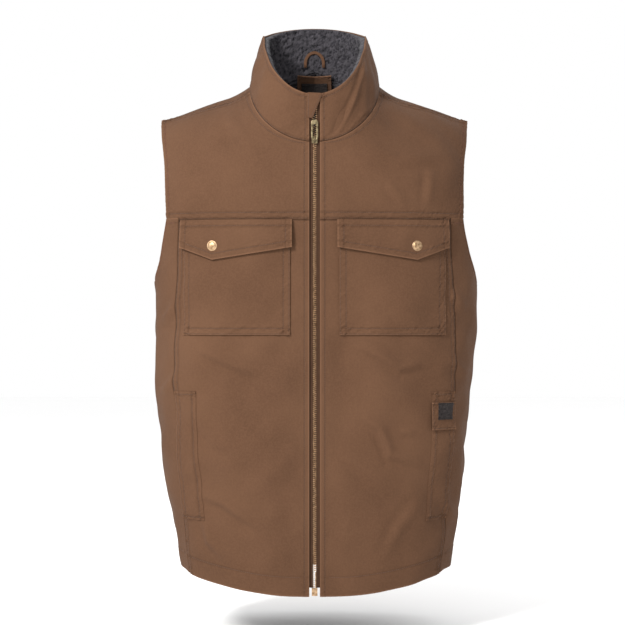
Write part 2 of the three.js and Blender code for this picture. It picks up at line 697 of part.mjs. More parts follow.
// An outline in Y and Z, extruded along X about the middle.
function bracket(outline, halfWide) {
  const shape = new THREE.Shape(outline.map(([y, z]) => new THREE.Vector2(y, z)));
  const geometry = new THREE.ExtrudeGeometry(shape, { depth: 2 * halfWide, bevelEnabled: false });
  geometry.rotateX(QUARTER).rotateZ(QUARTER);
  return geometry.translate(-halfWide, 0, 0);
}

const tapeMid = FRONT_Y - ZIP_LEVEL;
const toothFront = tapeMid - TOOTH_THICK / 2;
const toothBack = tapeMid + TOOTH_THICK / 2;
const sliderFace = toothFront - ZIP_CLEARANCE - PLATE;
const boxFoot = -FRONT_DROP + 1;
const boxTop = boxFoot + BOX_HEIGHT;
const pinX = TOOTH_REACH / 2;
const pinTop = boxTop + PIN_LENGTH - BOX_HEIGHT;

function addZip() {
  const halfGap = ZIP_CLEARANCE / 2;
  const stopHeight = 4;
  for (const [hand, tag] of [[RIGHT, 'right'], [LEFT, 'left']]) {
    const tapeY = tapeMid - TAPE_THICK / 2;
    vest.add(solid(`zip_tape_${tag}`, block(hand * (TOOTH_REACH + ZIP_CLEARANCE), hand * TAPE_EDGE_X,
      tapeY, tapeY + TAPE_THICK, boxTop + ZIP_CLEARANCE, ZIP_TOP + stopHeight), tapeCloth));
    const foot = hand === LEFT ? pinTop + ZIP_CLEARANCE : boxTop + ZIP_CLEARANCE;
    vest.add(solid(`zip_teeth_${tag}`, block(hand * halfGap, hand * TOOTH_REACH,
      toothFront, toothBack, foot, ZIP_TOP - ZIP_CLEARANCE), brass));
    vest.add(solid(`top_stop_${tag}`, block(hand * halfGap, hand * TOOTH_REACH,
      toothFront, toothBack, ZIP_TOP, ZIP_TOP + stopHeight), brass));
  }
  const pin = new THREE.CylinderGeometry(PIN_RADIUS, PIN_RADIUS, pinTop - boxFoot - PLATE, 10);
  pin.rotateX(QUARTER).translate(pinX, tapeMid, (pinTop + boxFoot + PLATE) / 2);
  vest.add(solid('insertion_pin', pin, brass));
  const wall = PIN_RADIUS + ZIP_CLEARANCE;
  const out = TOOTH_REACH + 1;
  const channel = [[-out, toothFront], [out, toothFront], [out, tapeMid - wall], [pinX - wall, tapeMid - wall],
    [pinX - wall, tapeMid + wall], [out, tapeMid + wall], [out, toothBack], [-out, toothBack]];
  vest.add(solid('retainer_box', prism(channel, boxFoot, boxTop), brass));
}

function addSlider() {
  const low = SLIDER_Z - SLIDER_LENGTH / 2;
  const high = SLIDER_Z + SLIDER_LENGTH / 2;
  const rail = TOOTH_REACH + 2 * ZIP_CLEARANCE;
  const railBack = tapeMid - TAPE_THICK / 2 - ZIP_CLEARANCE;
  const inside = toothFront - ZIP_CLEARANCE;
  const wide = SLIDER_HALF_WIDTH;
  const section = [[-wide, sliderFace], [wide, sliderFace], [wide, railBack], [rail, railBack],
    [rail, inside], [-rail, inside], [-rail, railBack], [-wide, railBack]];
  vest.add(solid('slider_body', prism(section, low, high), darkBrass));
  const rear = toothBack + ZIP_CLEARANCE;
  vest.add(solid('slider_back', block(-wide, wide, rear, rear + PLATE, low, high), darkBrass));

  const gap = PULL_THICK + 2 * ZIP_CLEARANCE + 0.4;
  const footY = sliderFace - ZIP_CLEARANCE;
  const innerY = footY - gap - 0.3;
  const outerY = innerY - 1.1;
  const archLow = high - SLIDER_LENGTH + 1;
  const archHigh = high - 0.6;
  const leg = 1.1;
  const arch = [[footY, archLow], [footY, archLow + leg], [innerY, archLow + leg], [innerY, archHigh - leg],
    [footY, archHigh - leg], [footY, archHigh], [outerY, archHigh], [outerY, archLow]];
  vest.add(solid('slider_bail', bracket(arch, 0.9), darkBrass));

  const pivotZ = (archLow + archHigh) / 2;
  const pivotY = (footY + innerY) / 2;
  const bar = 0.9;
  const half = PULL_WIDTH / 2;
  const tip = pivotZ + PULL_LENGTH;
  const slot = half - 2.6;
  const outline = [[-half + 1, pivotZ - bar], [half - 1, pivotZ - bar], [half, pivotZ + 1], [half, tip - 3],
    [half - 2, tip], [-half + 2, tip], [-half, tip - 3], [-half, pivotZ + 1]];
  const hole = [[-slot, pivotZ + bar], [slot, pivotZ + bar], [slot, tip - 6], [-slot, tip - 6]];
  vest.add(solid('pull_tab', plate(outline, pivotY - PULL_THICK / 2, pivotY + PULL_THICK / 2, [hole]), darkBrass));

  const sewn = -11;
  const far = 10.5;
  const garage = [[sewn, -25], [sewn, -60], [-3, -62], [far, -29], [far - 1, -26]];
  vest.add(solid('zip_garage', plate(garage, FRONT_Y - PLY_GAP - CANVAS, FRONT_Y - PLY_GAP), canvas));
}

// ---- inside the back of the neck ----
function addNeckPieces() {
  const inner = LINING_LEVEL - PILE;
  const square = (halfWide, low, high) => (u, v) => backAt(lerp(-halfWide, halfWide, u), lerp(low, high, v));
  const patchInner = inner - PATCH_STAND - CANVAS;
  vest.add(solid('neck_patch', cloth(square(PATCH_HALF_WIDTH, PATCH_BOTTOM, PATCH_TOP), 4, 4,
    patchInner, patchInner + CANVAS), canvas));
  const labelOuter = patchInner - PLY_GAP * 4;
  vest.add(solid('neck_label', cloth(square(NECK_LABEL_HALF_WIDTH, NECK_LABEL_BOTTOM, NECK_LABEL_TOP), 4, 4,
    labelOuter - LABEL_THICK, labelOuter), woven));

  const inside = LOOP_HALF_WIDTH - LOOP_TAPE;
  const arc = (radius, rise, from, to) => Array.from({ length: 9 }, (unused, i) => {
    const angle = lerp(from, to, i / 8);
    return [radius * Math.cos(angle), LOOP_FOOT_Z + rise * Math.sin(angle)];
  });
  const outline = [...arc(LOOP_HALF_WIDTH, LOOP_HEIGHT, 0, HALF_TURN),
    ...arc(inside, LOOP_HEIGHT - LOOP_TAPE, HALF_TURN, 0)];
  const beside = Math.sqrt(1 - (LOOP_HALF_WIDTH / NECK_HALF_WIDTH) ** 2);
  const loopY = NECK_BACK_DEPTH * beside + COLLAR_LINING_LEVEL - PILE - LOOP_THICK - LOOP_STAND;
  vest.add(solid('hang_loop', plate(outline, loopY, loopY + LOOP_THICK), canvas));
}

addShell();
addLinings();
addCollar();
addChestPockets();
addHandPockets();
addZip();
addSlider();
addNeckPieces();
export default vest;
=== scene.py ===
# Looks of the insulated canvas vest. Metres, +Z up, front towards -Y, the wearer's left towards +X.
import math
import bpy
import numpy as np
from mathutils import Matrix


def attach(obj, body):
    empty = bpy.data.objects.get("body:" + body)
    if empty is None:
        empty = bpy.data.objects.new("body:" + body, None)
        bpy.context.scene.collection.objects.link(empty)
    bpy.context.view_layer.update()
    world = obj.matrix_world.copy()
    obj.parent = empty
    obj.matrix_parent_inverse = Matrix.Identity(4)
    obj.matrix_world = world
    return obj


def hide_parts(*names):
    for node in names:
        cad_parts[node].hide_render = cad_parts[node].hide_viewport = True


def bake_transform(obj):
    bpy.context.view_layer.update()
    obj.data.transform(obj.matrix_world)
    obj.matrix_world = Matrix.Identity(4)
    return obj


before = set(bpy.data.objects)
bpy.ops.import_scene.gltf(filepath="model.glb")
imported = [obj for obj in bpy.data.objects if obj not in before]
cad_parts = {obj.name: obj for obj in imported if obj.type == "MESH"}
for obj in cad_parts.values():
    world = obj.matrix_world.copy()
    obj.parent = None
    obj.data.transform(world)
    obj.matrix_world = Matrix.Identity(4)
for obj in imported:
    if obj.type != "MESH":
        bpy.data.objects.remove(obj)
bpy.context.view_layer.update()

MM = 0.001
PI = math.pi
QUARTER = PI / 2

# ---- the vest's driving sizes, as in the CAD, in metres ----
CHEST_HALF_WIDTH, HEM_HALF_WIDTH = 0.239, 0.189
FRONT_DEPTH, BACK_DEPTH = 0.140, 0.125
SECTION_POWER, TAPER_POWER = 2.8, 2.1
FRONT_DROP, SIDE_HEM_RISE, BACK_HEM_RISE = 0.736, 0.032, 0.008
TIP_X, TIP_DROP, SHOULDER_ROUND = 0.227, 0.050, 0.150
UNDERARM_DROP, ARMHOLE_X, YOKE_DROP = 0.289, 0.213, 0.200
SEAM_TIP_DROP, SEAM_NECK_TURN = 0.003, math.radians(81)
NECK_HALF_WIDTH, NECK_FRONT_DROP, NECK_BACK_DEPTH = 0.095, 0.095, 0.070
NECK_RISE, NECK_SPREAD = 0.044, 0.130
TOP_HALF_WIDTH, TOP_FRONT, TOP_SIDE, TOP_BACK = 0.075, -0.027, 0.076, 0.097
TOP_BACK_DEPTH = 0.062
CANVAS, PILE, PLY_GAP = 0.0016, 0.0054, 0.0003
LINING_LEVEL = -0.0052
FACING_LEVEL, TRIM_LEVEL, FACING_WIDTH, HEM_TURN = -0.0036, -0.003, 0.045, 0.027
EDGE_X, TAPE_X = 0.0075, 0.012
POCKET_X = (0.035, 0.186)
POCKET_Z = (-0.367, -0.206)
FLAP_X = (0.032, 0.189)
FLAP_TOP, FLAP_CORNER, FLAP_POINT, FLAP_LIFT = -0.204, -0.243, -0.261, 0.0053
SNAP_X, SNAP_Z = 0.143, -0.241
SHARE_TOP, SHARE_HEM = 0.81, 0.93
WELT_Z, WELT_WIDTH = (-0.632, -0.448), 0.033
# Inset is the distance in from the side seam, at the far and the near edge.
BAG_DROP, BAG_INSET = 0.030, (0.120, 0.004)
PATCH_Z, PATCH_INSET = (-0.5025, -0.4635), (0.0345, 0.0005)
LABEL_Z, LABEL_INSET = (-0.488, -0.464), (0.026, 0.006)
THIN_CLOTH, LABEL_STEPS = 0.0012, (0.0012, 0.0012)
# Neck patch and label: half width, bottom and top.
NECK_PATCH, NECK_LABEL = (0.0315, -0.004, 0.034), (0.025, 0.005, 0.024)
LOOP_HALF_WIDTH, LOOP_HEIGHT, LOOP_BAR, LOOP_Y, LOOP_FOOT = 0.016, 0.019, 0.0045, 0.056, 0.043
PITCH = 0.0028
STITCH = 0.0032
HIDDEN_SNAP = (0.170, -0.549)
FRONT_Y = -FRONT_DEPTH
TAPE_MID = FRONT_Y + 0.003
FRONT_PLATE = -0.1404


def lerp(a, b, t):
    return a + (b - a) * t


def run_along(points):
    """Distance along a line of points, from its start."""
    return np.concatenate([[0], np.cumsum(np.linalg.norm(np.diff(points, axis=0), axis=1))])


def unit(vectors, least=0.0):
    return vectors / np.maximum(least, np.linalg.norm(vectors, axis=-1))[..., None]


def smooth(x, low, high):
    t = np.clip((x - low) / (high - low), 0, 1)
    return t * t * (3 - 2 * t)


def bump_at(x, centre, width):
    return np.exp(-((x - centre) / width) ** 2)


# ---- the torso's face ----
def half_width(z):
    below = np.clip((-UNDERARM_DROP - z) / (FRONT_DROP - UNDERARM_DROP), 0, 1)
    return lerp(CHEST_HALF_WIDTH, HEM_HALF_WIDTH, below ** TAPER_POWER)


def neck_swell(x):
    near = np.maximum(0, 1 - (x / NECK_SPREAD) ** 2)
    return NECK_RISE * near * near


def ridge(x):
    slope = (TIP_DROP - neck_swell(NECK_HALF_WIDTH)) / (TIP_X - NECK_HALF_WIDTH)
    return -TIP_DROP + (TIP_X - np.abs(x)) * slope + neck_swell(x)


def fullness(x, z):
    share = np.minimum(1, np.abs(x) / half_width(z))
    return (1 - share ** SECTION_POWER) ** (1 / SECTION_POWER)


def turn_at(x, z):
    rise = (z - (ridge(x) - SHOULDER_ROUND)) / SHOULDER_ROUND
    return np.where(rise < 0, rise, np.arcsin(np.clip(rise, -1, 1)))


def over(x, turn):
    spring = ridge(x) - SHOULDER_ROUND
    inside = np.clip(turn, 0, PI)
    z = spring + SHOULDER_ROUND * (np.sin(inside) - np.abs(turn - inside))
    depth = np.where(turn < QUARTER, FRONT_DEPTH, BACK_DEPTH)
    return np.stack(np.broadcast_arrays(x, -depth * fullness(x, z) * np.cos(inside), z), -1)


def front_at(x, z):
    return over(x, turn_at(x, z))


def back_at(x, z):
    return over(x, PI - turn_at(x, z))


def around(angle, z):
    width = half_width(z)
    depth = np.where(np.cos(angle) > 0, FRONT_DEPTH, BACK_DEPTH)
    across = (np.abs(np.sin(angle)) / width) ** SECTION_POWER
    along = (np.abs(np.cos(angle)) / depth) ** SECTION_POWER
    radius = (across + along) ** (-1 / SECTION_POWER)
    x = radius * np.sin(angle)
    fade = np.cos(np.maximum(0, turn_at(x, z)))
    return np.stack(np.broadcast_arrays(x, -radius * np.cos(angle) * fade, z), -1)


def angle_of(x, z, depth):
    share = np.minimum(1, np.abs(x) / half_width(z))
    return np.arctan2(np.abs(x), depth * (1 - share ** SECTION_POWER) ** (1 / SECTION_POWER))


def front_angle(x, z):
    return angle_of(x, z, FRONT_DEPTH)


def back_angle(x, z):
    return PI - angle_of(x, z, BACK_DEPTH)


def hem_edge(angle):
    side = np.abs(np.sin(angle)) ** 3
    rear = np.maximum(0, -np.cos(angle))
    return -FRONT_DROP + SIDE_HEM_RISE * side + BACK_HEM_RISE * rear


def top_edge(angle):
    folded = np.where(angle > PI, 2 * PI - angle, angle)
    ahead = front_angle(ARMHOLE_X, -YOKE_DROP)
    behind = back_angle(ARMHOLE_X, -YOKE_DROP)
    corner = np.where(folded < QUARTER, ahead, behind)
    share = np.clip(np.abs(folded - QUARTER) / np.abs(corner - QUARTER), 0, 1)
    return lerp(-UNDERARM_DROP, -YOKE_DROP, share ** 3.8)


def seam_x(z):
    down = np.clip((-YOKE_DROP - z) / (FRONT_DROP - YOKE_DROP), 0, 1)
    return lerp(SHARE_TOP, SHARE_HEM, down) * half_width(z)


def front_seam(z):
    return front_angle(seam_x(z), z)


def back_seam(z):
    return back_angle(seam_x(z), z)


def evenly(curve, start, end):
    steps = np.linspace(start, end, 401)
    points = curve(steps)
    run = run_along(points)
    return lambda share: np.interp(np.clip(share, 0, 1) * run[-1], run, steps)


# ---- neckline, collar and yokes ----
def neckline(angle):
    x = NECK_HALF_WIDTH * np.sin(angle)
    ahead = turn_at(x, -NECK_FRONT_DROP * np.cos(angle))
    room = BACK_DEPTH * fullness(x, ridge(x))
    behind = QUARTER + np.arcsin(np.clip(-NECK_BACK_DEPTH * np.cos(angle) / room, -1, 1))
    return x, np.where(np.cos(angle) >= 0, ahead, behind)


def neck_point(angle):
    return over(*neckline(angle))


def collar_top(angle):
    lean = np.maximum(0, 1 - np.abs(np.sin(angle)) ** 3) ** (1 / 3)
    ahead = np.cos(angle) >= 0
    y = np.where(ahead, -FRONT_DEPTH * lean, TOP_BACK_DEPTH * lean)
    z = lerp(TOP_SIDE, np.where(ahead, TOP_FRONT, TOP_BACK), np.abs(np.cos(angle)))
    return np.stack([TOP_HALF_WIDTH * np.sin(angle), y, z], -1)


def collar_face(start_x, low, high):
    base, tip = math.asin(start_x / NECK_HALF_WIDTH), math.asin(start_x / TOP_HALF_WIDTH)
    low_pace = evenly(neck_point, base, 2 * PI - base)
    high_pace = evenly(collar_top, tip, 2 * PI - tip)

    def face(u, v):
        share = lerp(low, high, v)[..., None]
        bow = 4 * share * (1 - share)
        flat = lerp(neck_point(low_pace(u)), collar_top(high_pace(u)), share)
        side = smooth(np.abs(flat[..., 0]), 0.01, 0.06)[..., None]
        return flat + 0.003 * bow * side * np.array([1, 0, 0]) * np.sign(flat[..., :1])
    return face


def between(bottom, top, start, finish):
    def face(u, v):
        mix = []
        for k in (0, 1):
            sides = lerp(start(v)[k], finish(v)[k], u) + lerp(bottom(u)[k], top(u)[k], v)
            zero, one = np.zeros(1), np.ones(1)
            low = lerp(bottom(zero)[k], bottom(one)[k], u)
            high = lerp(top(zero)[k], top(one)[k], u)
            mix.append(sides - lerp(low, high, v))
        return over(*mix)
    return face


SEAM_TIP_TURN = float(turn_at(TIP_X, ridge(TIP_X) - SEAM_TIP_DROP))


def shoulder_seam(side):
    x, turn = neckline(SEAM_NECK_TURN)
    return lambda t: (side * lerp(x, TIP_X, t), lerp(turn, SEAM_TIP_TURN, t))


def armhole_x(z):
    return lerp(ARMHOLE_X, TIP_X, np.clip((z + YOKE_DROP) / (YOKE_DROP - TIP_DROP), 0, 1) ** 1.5)


def armhole_front(side):
    tip_z = float(over(TIP_X, SEAM_TIP_TURN)[2])

    def edge(t):
        z = lerp(-YOKE_DROP, tip_z, t)
        return side * armhole_x(z), turn_at(armhole_x(z), z)
    return edge


def armhole_back(side):
    low = PI - turn_at(ARMHOLE_X, -YOKE_DROP)

    def edge(t):
        turn = lerp(low, SEAM_TIP_TURN, t)
        share = np.where(turn < QUARTER, 1, np.maximum(0, np.sin(np.minimum(turn, PI))) ** 1.5)
        return side * lerp(ARMHOLE_X, TIP_X, share), turn
    return edge


def front_yoke_face(side, start_x):
    first = math.asin(start_x / NECK_HALF_WIDTH)
    pace = evenly(neck_point, first, SEAM_NECK_TURN)
    straight = YOKE_DROP - NECK_FRONT_DROP
    share = straight / (straight + NECK_HALF_WIDTH * QUARTER)

    def centre(v):
        z = lerp(-YOKE_DROP, -NECK_FRONT_DROP * math.cos(first), np.minimum(1, v / share))
        x, turn = neckline(pace((v - share) / (1 - share)))
        low = v < share
        return side * np.where(low, start_x, x), np.where(low, turn_at(start_x, z), turn)

    def bottom(u):
        x = lerp(start_x, ARMHOLE_X, u)
        return side * x, turn_at(x, -YOKE_DROP)
    return between(bottom, shoulder_seam(side), centre, armhole_front(side))


def back_yoke_face():
    shoulder = 6 / 22
    pace = evenly(neck_point, SEAM_NECK_TURN, 2 * PI - SEAM_NECK_TURN)

    def top(u):
        left = shoulder_seam(1)(1 - u / shoulder)
        right = shoulder_seam(-1)((u - 1 + shoulder) / shoulder)
        neck = neckline(pace((u - shoulder) / (1 - 2 * shoulder)))
        pick = lambda k: np.where(u < shoulder, left[k], np.where(u > 1 - shoulder, right[k], neck[k]))
        return pick(0), pick(1)

    def bottom(u):
        x = lerp(ARMHOLE_X, -ARMHOLE_X, u)
        return x, PI - turn_at(x, -YOKE_DROP)
    return between(bottom, top, armhole_back(1), armhole_back(-1))


def body_face(side, start, finish, low=0.0):
    def face(u, v):
        level = lerp(-FRONT_DROP, -YOKE_DROP, v)
        angle = lerp(start(level), finish(level), u)
        return around(side * angle, lerp(hem_edge(angle) + low, top_edge(angle), v))
    return face


def shrunk(face, start, end, top):
    return lambda u, v: face(lerp(start, 1 - end, u), lerp(0, 1 - top, v))


# ---- relief: what the cloth does, as a height along its normal ----
def waves(seed, count, low, high):
    random = np.random.default_rng(seed)
    way = random.normal(size=(count, 3))
    way /= np.linalg.norm(way, axis=1)[:, None]
    length = np.exp(random.uniform(math.log(low), math.log(high), count))
    phase = random.uniform(0, 2 * PI, count)

    def height(points):
        total = np.zeros(points.shape[:-1])
        for k in range(count):
            total += np.sin(points @ (way[k] * 2 * PI / length[k]) + phase[k])
        return total / math.sqrt(count)
    return height


SLOW = waves(3, 9, 0.09, 0.26)
MIDDLE = waves(5, 12, 0.035, 0.08)
RIPPLE = waves(9, 12, 0.004, 0.009)
CURL_A = waves(11, 16, 0.004, 0.009)
CURL_B = waves(12, 16, 0.005, 0.012)

# Folds on the front, as lines of (x, z) in metres, with their half width and height.
FRONT_FOLDS = [
    ([(-0.125, -0.045), (-0.105, -0.085), (-0.075, -0.125)], 0.013, 0.0024),
    ([(-0.165, -0.385), (-0.125, -0.405), (-0.075, -0.425)], 0.008, 0.0026),
    ([(-0.095, -0.455), (-0.055, -0.505), (-0.020, -0.520)], 0.011, 0.0020),
    ([(-0.168, -0.595), (-0.130, -0.605), (-0.100, -0.625), (-0.072, -0.640)], 0.008, 0.0028),
    ([(-0.160, -0.630), (-0.150, -0.660), (-0.125, -0.685)], 0.008, 0.0026),
    ([(-0.170, -0.480), (-0.140, -0.520), (-0.110, -0.530)], 0.010, 0.0018),
    ([(0.058, -0.381), (0.090, -0.395), (0.121, -0.414), (0.156, -0.409)], 0.0075, 0.0028),
    ([(0.058, -0.473), (0.093, -0.501), (0.107, -0.536), (0.156, -0.554)], 0.0075, 0.0030),
    ([(0.121, -0.502), (0.143, -0.509)], 0.006, 0.0016),
    ([(0.030, -0.520), (0.075, -0.560), (0.120, -0.600)], 0.011, 0.0019),
    ([(0.150, -0.600), (0.120, -0.640), (0.100, -0.680)], 0.009, 0.0020),
    ([(0.100, -0.150), (0.130, -0.185)], 0.008, 0.0014),
    ([(0.165, -0.130), (0.160, -0.185)], 0.008, 0.0015),
    ([(0.060, -0.100), (0.120, -0.120), (0.190, -0.110)], 0.012, 0.0016),
    ([(0.195, -0.300), (0.215, -0.335)], 0.008, 0.0024),
    ([(-0.200, -0.320), (-0.224, -0.352)], 0.008, 0.0024),
    ([(-0.195, -0.420), (-0.222, -0.455)], 0.009, 0.0025),
    ([(0.196, -0.400), (0.220, -0.430)], 0.009, 0.0024),
    ([(0.185, -0.600), (0.206, -0.640)], 0.009, 0.0024),
]
BACK_FOLDS = [
    ([(-0.150, -0.330), (-0.080, -0.352), (0.010, -0.345)], 0.016, 0.0034),
    ([(0.160, -0.420), (0.090, -0.455), (0.015, -0.462)], 0.016, 0.0036),
    ([(-0.140, -0.520), (-0.060, -0.560), (0.050, -0.575)], 0.018, 0.0034),
    ([(0.140, -0.600), (0.070, -0.640), (-0.010, -0.655)], 0.015, 0.0030),
    ([(0.150, -0.090), (0.100, -0.130), (0.060, -0.180)], 0.016, 0.0024),
    ([(-0.150, -0.090), (-0.100, -0.135), (-0.055, -0.180)], 0.016, 0.0024),
]


FOLD_GAIN = 1.7
SLOW_HEIGHT, MIDDLE_HEIGHT, CHEST_CALM = 0.0026, 0.0012, 0.45
# Where the hidden snap's flat disc calms the folds, and the dent it prints in the canvas.
HIDDEN_DISC, HIDDEN_PRINT = (0.181, -0.556), 0.0006


def fold_height(points, fold):
    line, width, height = fold
    line = np.array(line)
    flat = points[..., [0, 2]]
    best = np.full(flat.shape[:-1], 1.0)
    signed = np.zeros(flat.shape[:-1])
    place = np.zeros(flat.shape[:-1])
    legs = len(line) - 1
    for k in range(legs):
        step = line[k + 1] - line[k]
        part = np.clip(((flat - line[k]) @ step) / (step @ step), 0, 1)
        gap = flat - line[k] - part[..., None] * step
        away = np.linalg.norm(gap, axis=-1)
        across = (gap[..., 0] * step[1] - gap[..., 1] * step[0]) / np.linalg.norm(step)
        near = away < best
        best = np.where(near, away, best)
        signed = np.where(near, across, signed)
        place = np.where(near, (k + part) / legs, place)
    taper = np.sin(PI * np.clip(place, 0.02, 0.98)) ** 0.7
    lift = np.exp(-(best / width) ** 2) - 0.55 * np.exp(-((signed - 1.1 * width) / (0.8 * width)) ** 2) \
        * np.exp(-(np.maximum(0, best - 2.2 * width) / width) ** 2) * (best < 3 * width)
    return FOLD_GAIN * height * taper * lift


def from_neck(points):
    """Distance to the neck seam."""
    near = np.full(points.shape[:-1], 1.0)
    for spot in neck_point(np.linspace(0, 2 * PI, 120)):
        near = np.minimum(near, np.linalg.norm(points - spot, axis=-1))
    return near


def relief(points, strength=1.0):
    """Height of the folds at points of the torso."""
    if strength == 0:
        return np.zeros(points.shape[:-1])
    x, y, z = points[..., 0], points[..., 1], points[..., 2]
    front, back = smooth(-y, 0.0, 0.05), smooth(y, 0.0, 0.05)
    calm = lerp(CHEST_CALM, 1.0, smooth(-z, 0.19, 0.36))
    total = (SLOW_HEIGHT * SLOW(points) + MIDDLE_HEIGHT * MIDDLE(points)) * calm
    for fold in FRONT_FOLDS:
        total += front * fold_height(points, fold)
    for fold in BACK_FOLDS:
        total += back * fold_height(points, fold)
    quiet = smooth(np.abs(x), 0.010, 0.045)
    snap = np.exp(-(((np.abs(x) - SNAP_X) ** 2 + (z - SNAP_Z) ** 2) / 0.016 ** 2) ** 1.5)
    disc = (np.abs(x) - HIDDEN_DISC[0]) ** 2 + (z - HIDDEN_DISC[1]) ** 2
    snap = np.maximum(snap, np.exp(-(disc / 0.014 ** 2) ** 1.5))
    neck = np.exp(-((x / 0.050) ** 2 + ((z - 0.012) / 0.045) ** 2) ** 2)
    total = total * lerp(1, quiet * (1 - snap), front) * (1 - back * neck)
    hidden = (np.abs(x) - HIDDEN_SNAP[0]) ** 2 + (z - HIDDEN_SNAP[1]) ** 2
    total = total * smooth(from_neck(points), 0.0, 0.035)
    return strength * (total + front * HIDDEN_PRINT * np.exp(-(hidden / 0.0058 ** 2) ** 2))


# ---- meshes ----
def add_mesh(name, verts, faces, material, body, smooth_faces=True, attributes=None):
    mesh = bpy.data.meshes.new(name)
    mesh.from_pydata(np.asarray(verts).tolist(), [], faces if isinstance(faces, list) else faces.tolist())
    mesh.validate()
    mesh.polygons.foreach_set("use_smooth", [smooth_faces] * len(mesh.polygons))
    for key, values in (attributes or {}).items():
        kind = "FLOAT_VECTOR" if np.ndim(values) == 2 else "FLOAT"
        layer = mesh.attributes.new(key, kind, "POINT")
        field = "vector" if kind == "FLOAT_VECTOR" else "value"
        layer.data.foreach_set(field, np.ravel(values).astype(np.float32))
    mesh.materials.append(material)
    piece = bpy.data.objects.new(name, mesh)
    bpy.context.scene.collection.objects.link(piece)
    if body:
        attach(piece, body)
    return piece


def stops(length, fine_start, fine_end, step):
    """Places from 0 to 1 along a length, closer together near edges that carry a seam."""
    near = np.array([0, 0.4, 0.8, 1.2, 1.7, 2.3, 3, 3.8, 4.6, 5.4, 6.2, 7, 7.8, 8.6, 9.4, 10.4, 12]) * MM
    low = near if fine_start else np.array([0.0])
    high = (length - near)[::-1] if fine_end else np.array([length])
    count = max(1, int(round((high[0] - low[-1]) / step)))
    middle = np.linspace(low[-1], high[0], count + 1)[1:-1]
    return np.clip(np.concatenate([low, middle, high]) / length, 0, 1)


LAP = 0.0042
EDGE_RISE = 0.0005
PUCKER = 0.00038


def edge_profile(kind, away, along):
    """Height, and a shift of colour, that a kind of edge gives the cloth at a distance from it: painted shade
    in a seam's groove, beside a raised band, under a lapped edge and along each stitch line, and lighter wear
    along a folded edge.
    """
    if kind is None:
        return 0, 0
    style, rows = kind[0], kind[1:]
    # Negative values are painted shade in grooves and hollows; positive values, along folded edges, are wear.
    height, painted_light_and_wear = 0 * away, 0 * away
    last = rows[-1] if rows else 0
    if style == "fell":
        height = height - 0.0011 * bump_at(away, 0, 0.0012)
        painted_light_and_wear = painted_light_and_wear - 0.9 * bump_at(away, 0, 0.0012)
    if style in ("fell", "flat") and rows:
        height = height + EDGE_RISE * (1 - smooth(away, last + 0.001, last + 0.003))
        painted_light_and_wear = painted_light_and_wear - 0.25 * bump_at(away, last + 0.0020, 0.0012)
    if style == "lap":
        height = height + EDGE_RISE * (1 - smooth(away, LAP - 0.0005, LAP))
        height = height - 0.0009 * bump_at(away, LAP + 0.0006, 0.0009)
        painted_light_and_wear = painted_light_and_wear - 1.0 * bump_at(away, LAP + 0.0005, 0.0010)
    if style in ("turned", "arm"):
        height = height + 0.0004 * (1 - smooth(away, rows[0] - 0.001, rows[0] + 0.004))
        painted_light_and_wear = painted_light_and_wear + 0.45 * bump_at(away, 0.0006, 0.0012)
    for row in rows:
        height = height - 0.00042 * bump_at(away, row, 0.0008)
        painted_light_and_wear = painted_light_and_wear - 0.38 * bump_at(away, row, 0.0010)
        height = height + PUCKER * along * np.exp(-np.abs(away - row) / 0.006)
    return height, painted_light_and_wear


def edge_lines(kinds, outer, normals, lu, lv):
    """Stitch lines that run beside the edges of a grid: lists of points and normals."""
    lines = []
    total_u, total_v = lu[:, -1:], lv[-1:, :]
    setups = [(kinds[0], lu, 1), (kinds[1], total_u - lu, 1), (kinds[2], lv, 0), (kinds[3], total_v - lv, 0)]
    for kind, away, axis in setups:
        for row in (kind[1:] if kind else ()):
            grid, place, facing = (away, outer, normals) if axis == 1 else (
                away.T, outer.transpose(1, 0, 2), normals.transpose(1, 0, 2))
            points, norms = [], []
            for j in range(grid.shape[0]):
                order = np.argsort(grid[j])
                points.append([np.interp(row, grid[j][order], place[j][order, k]) for k in range(3)])
                norms.append([np.interp(row, grid[j][order], facing[j][order, k]) for k in range(3)])
            lines.append((kind[0], (np.array(points), np.array(norms), min(row, 0.012))))
    return lines


STITCHES = {}


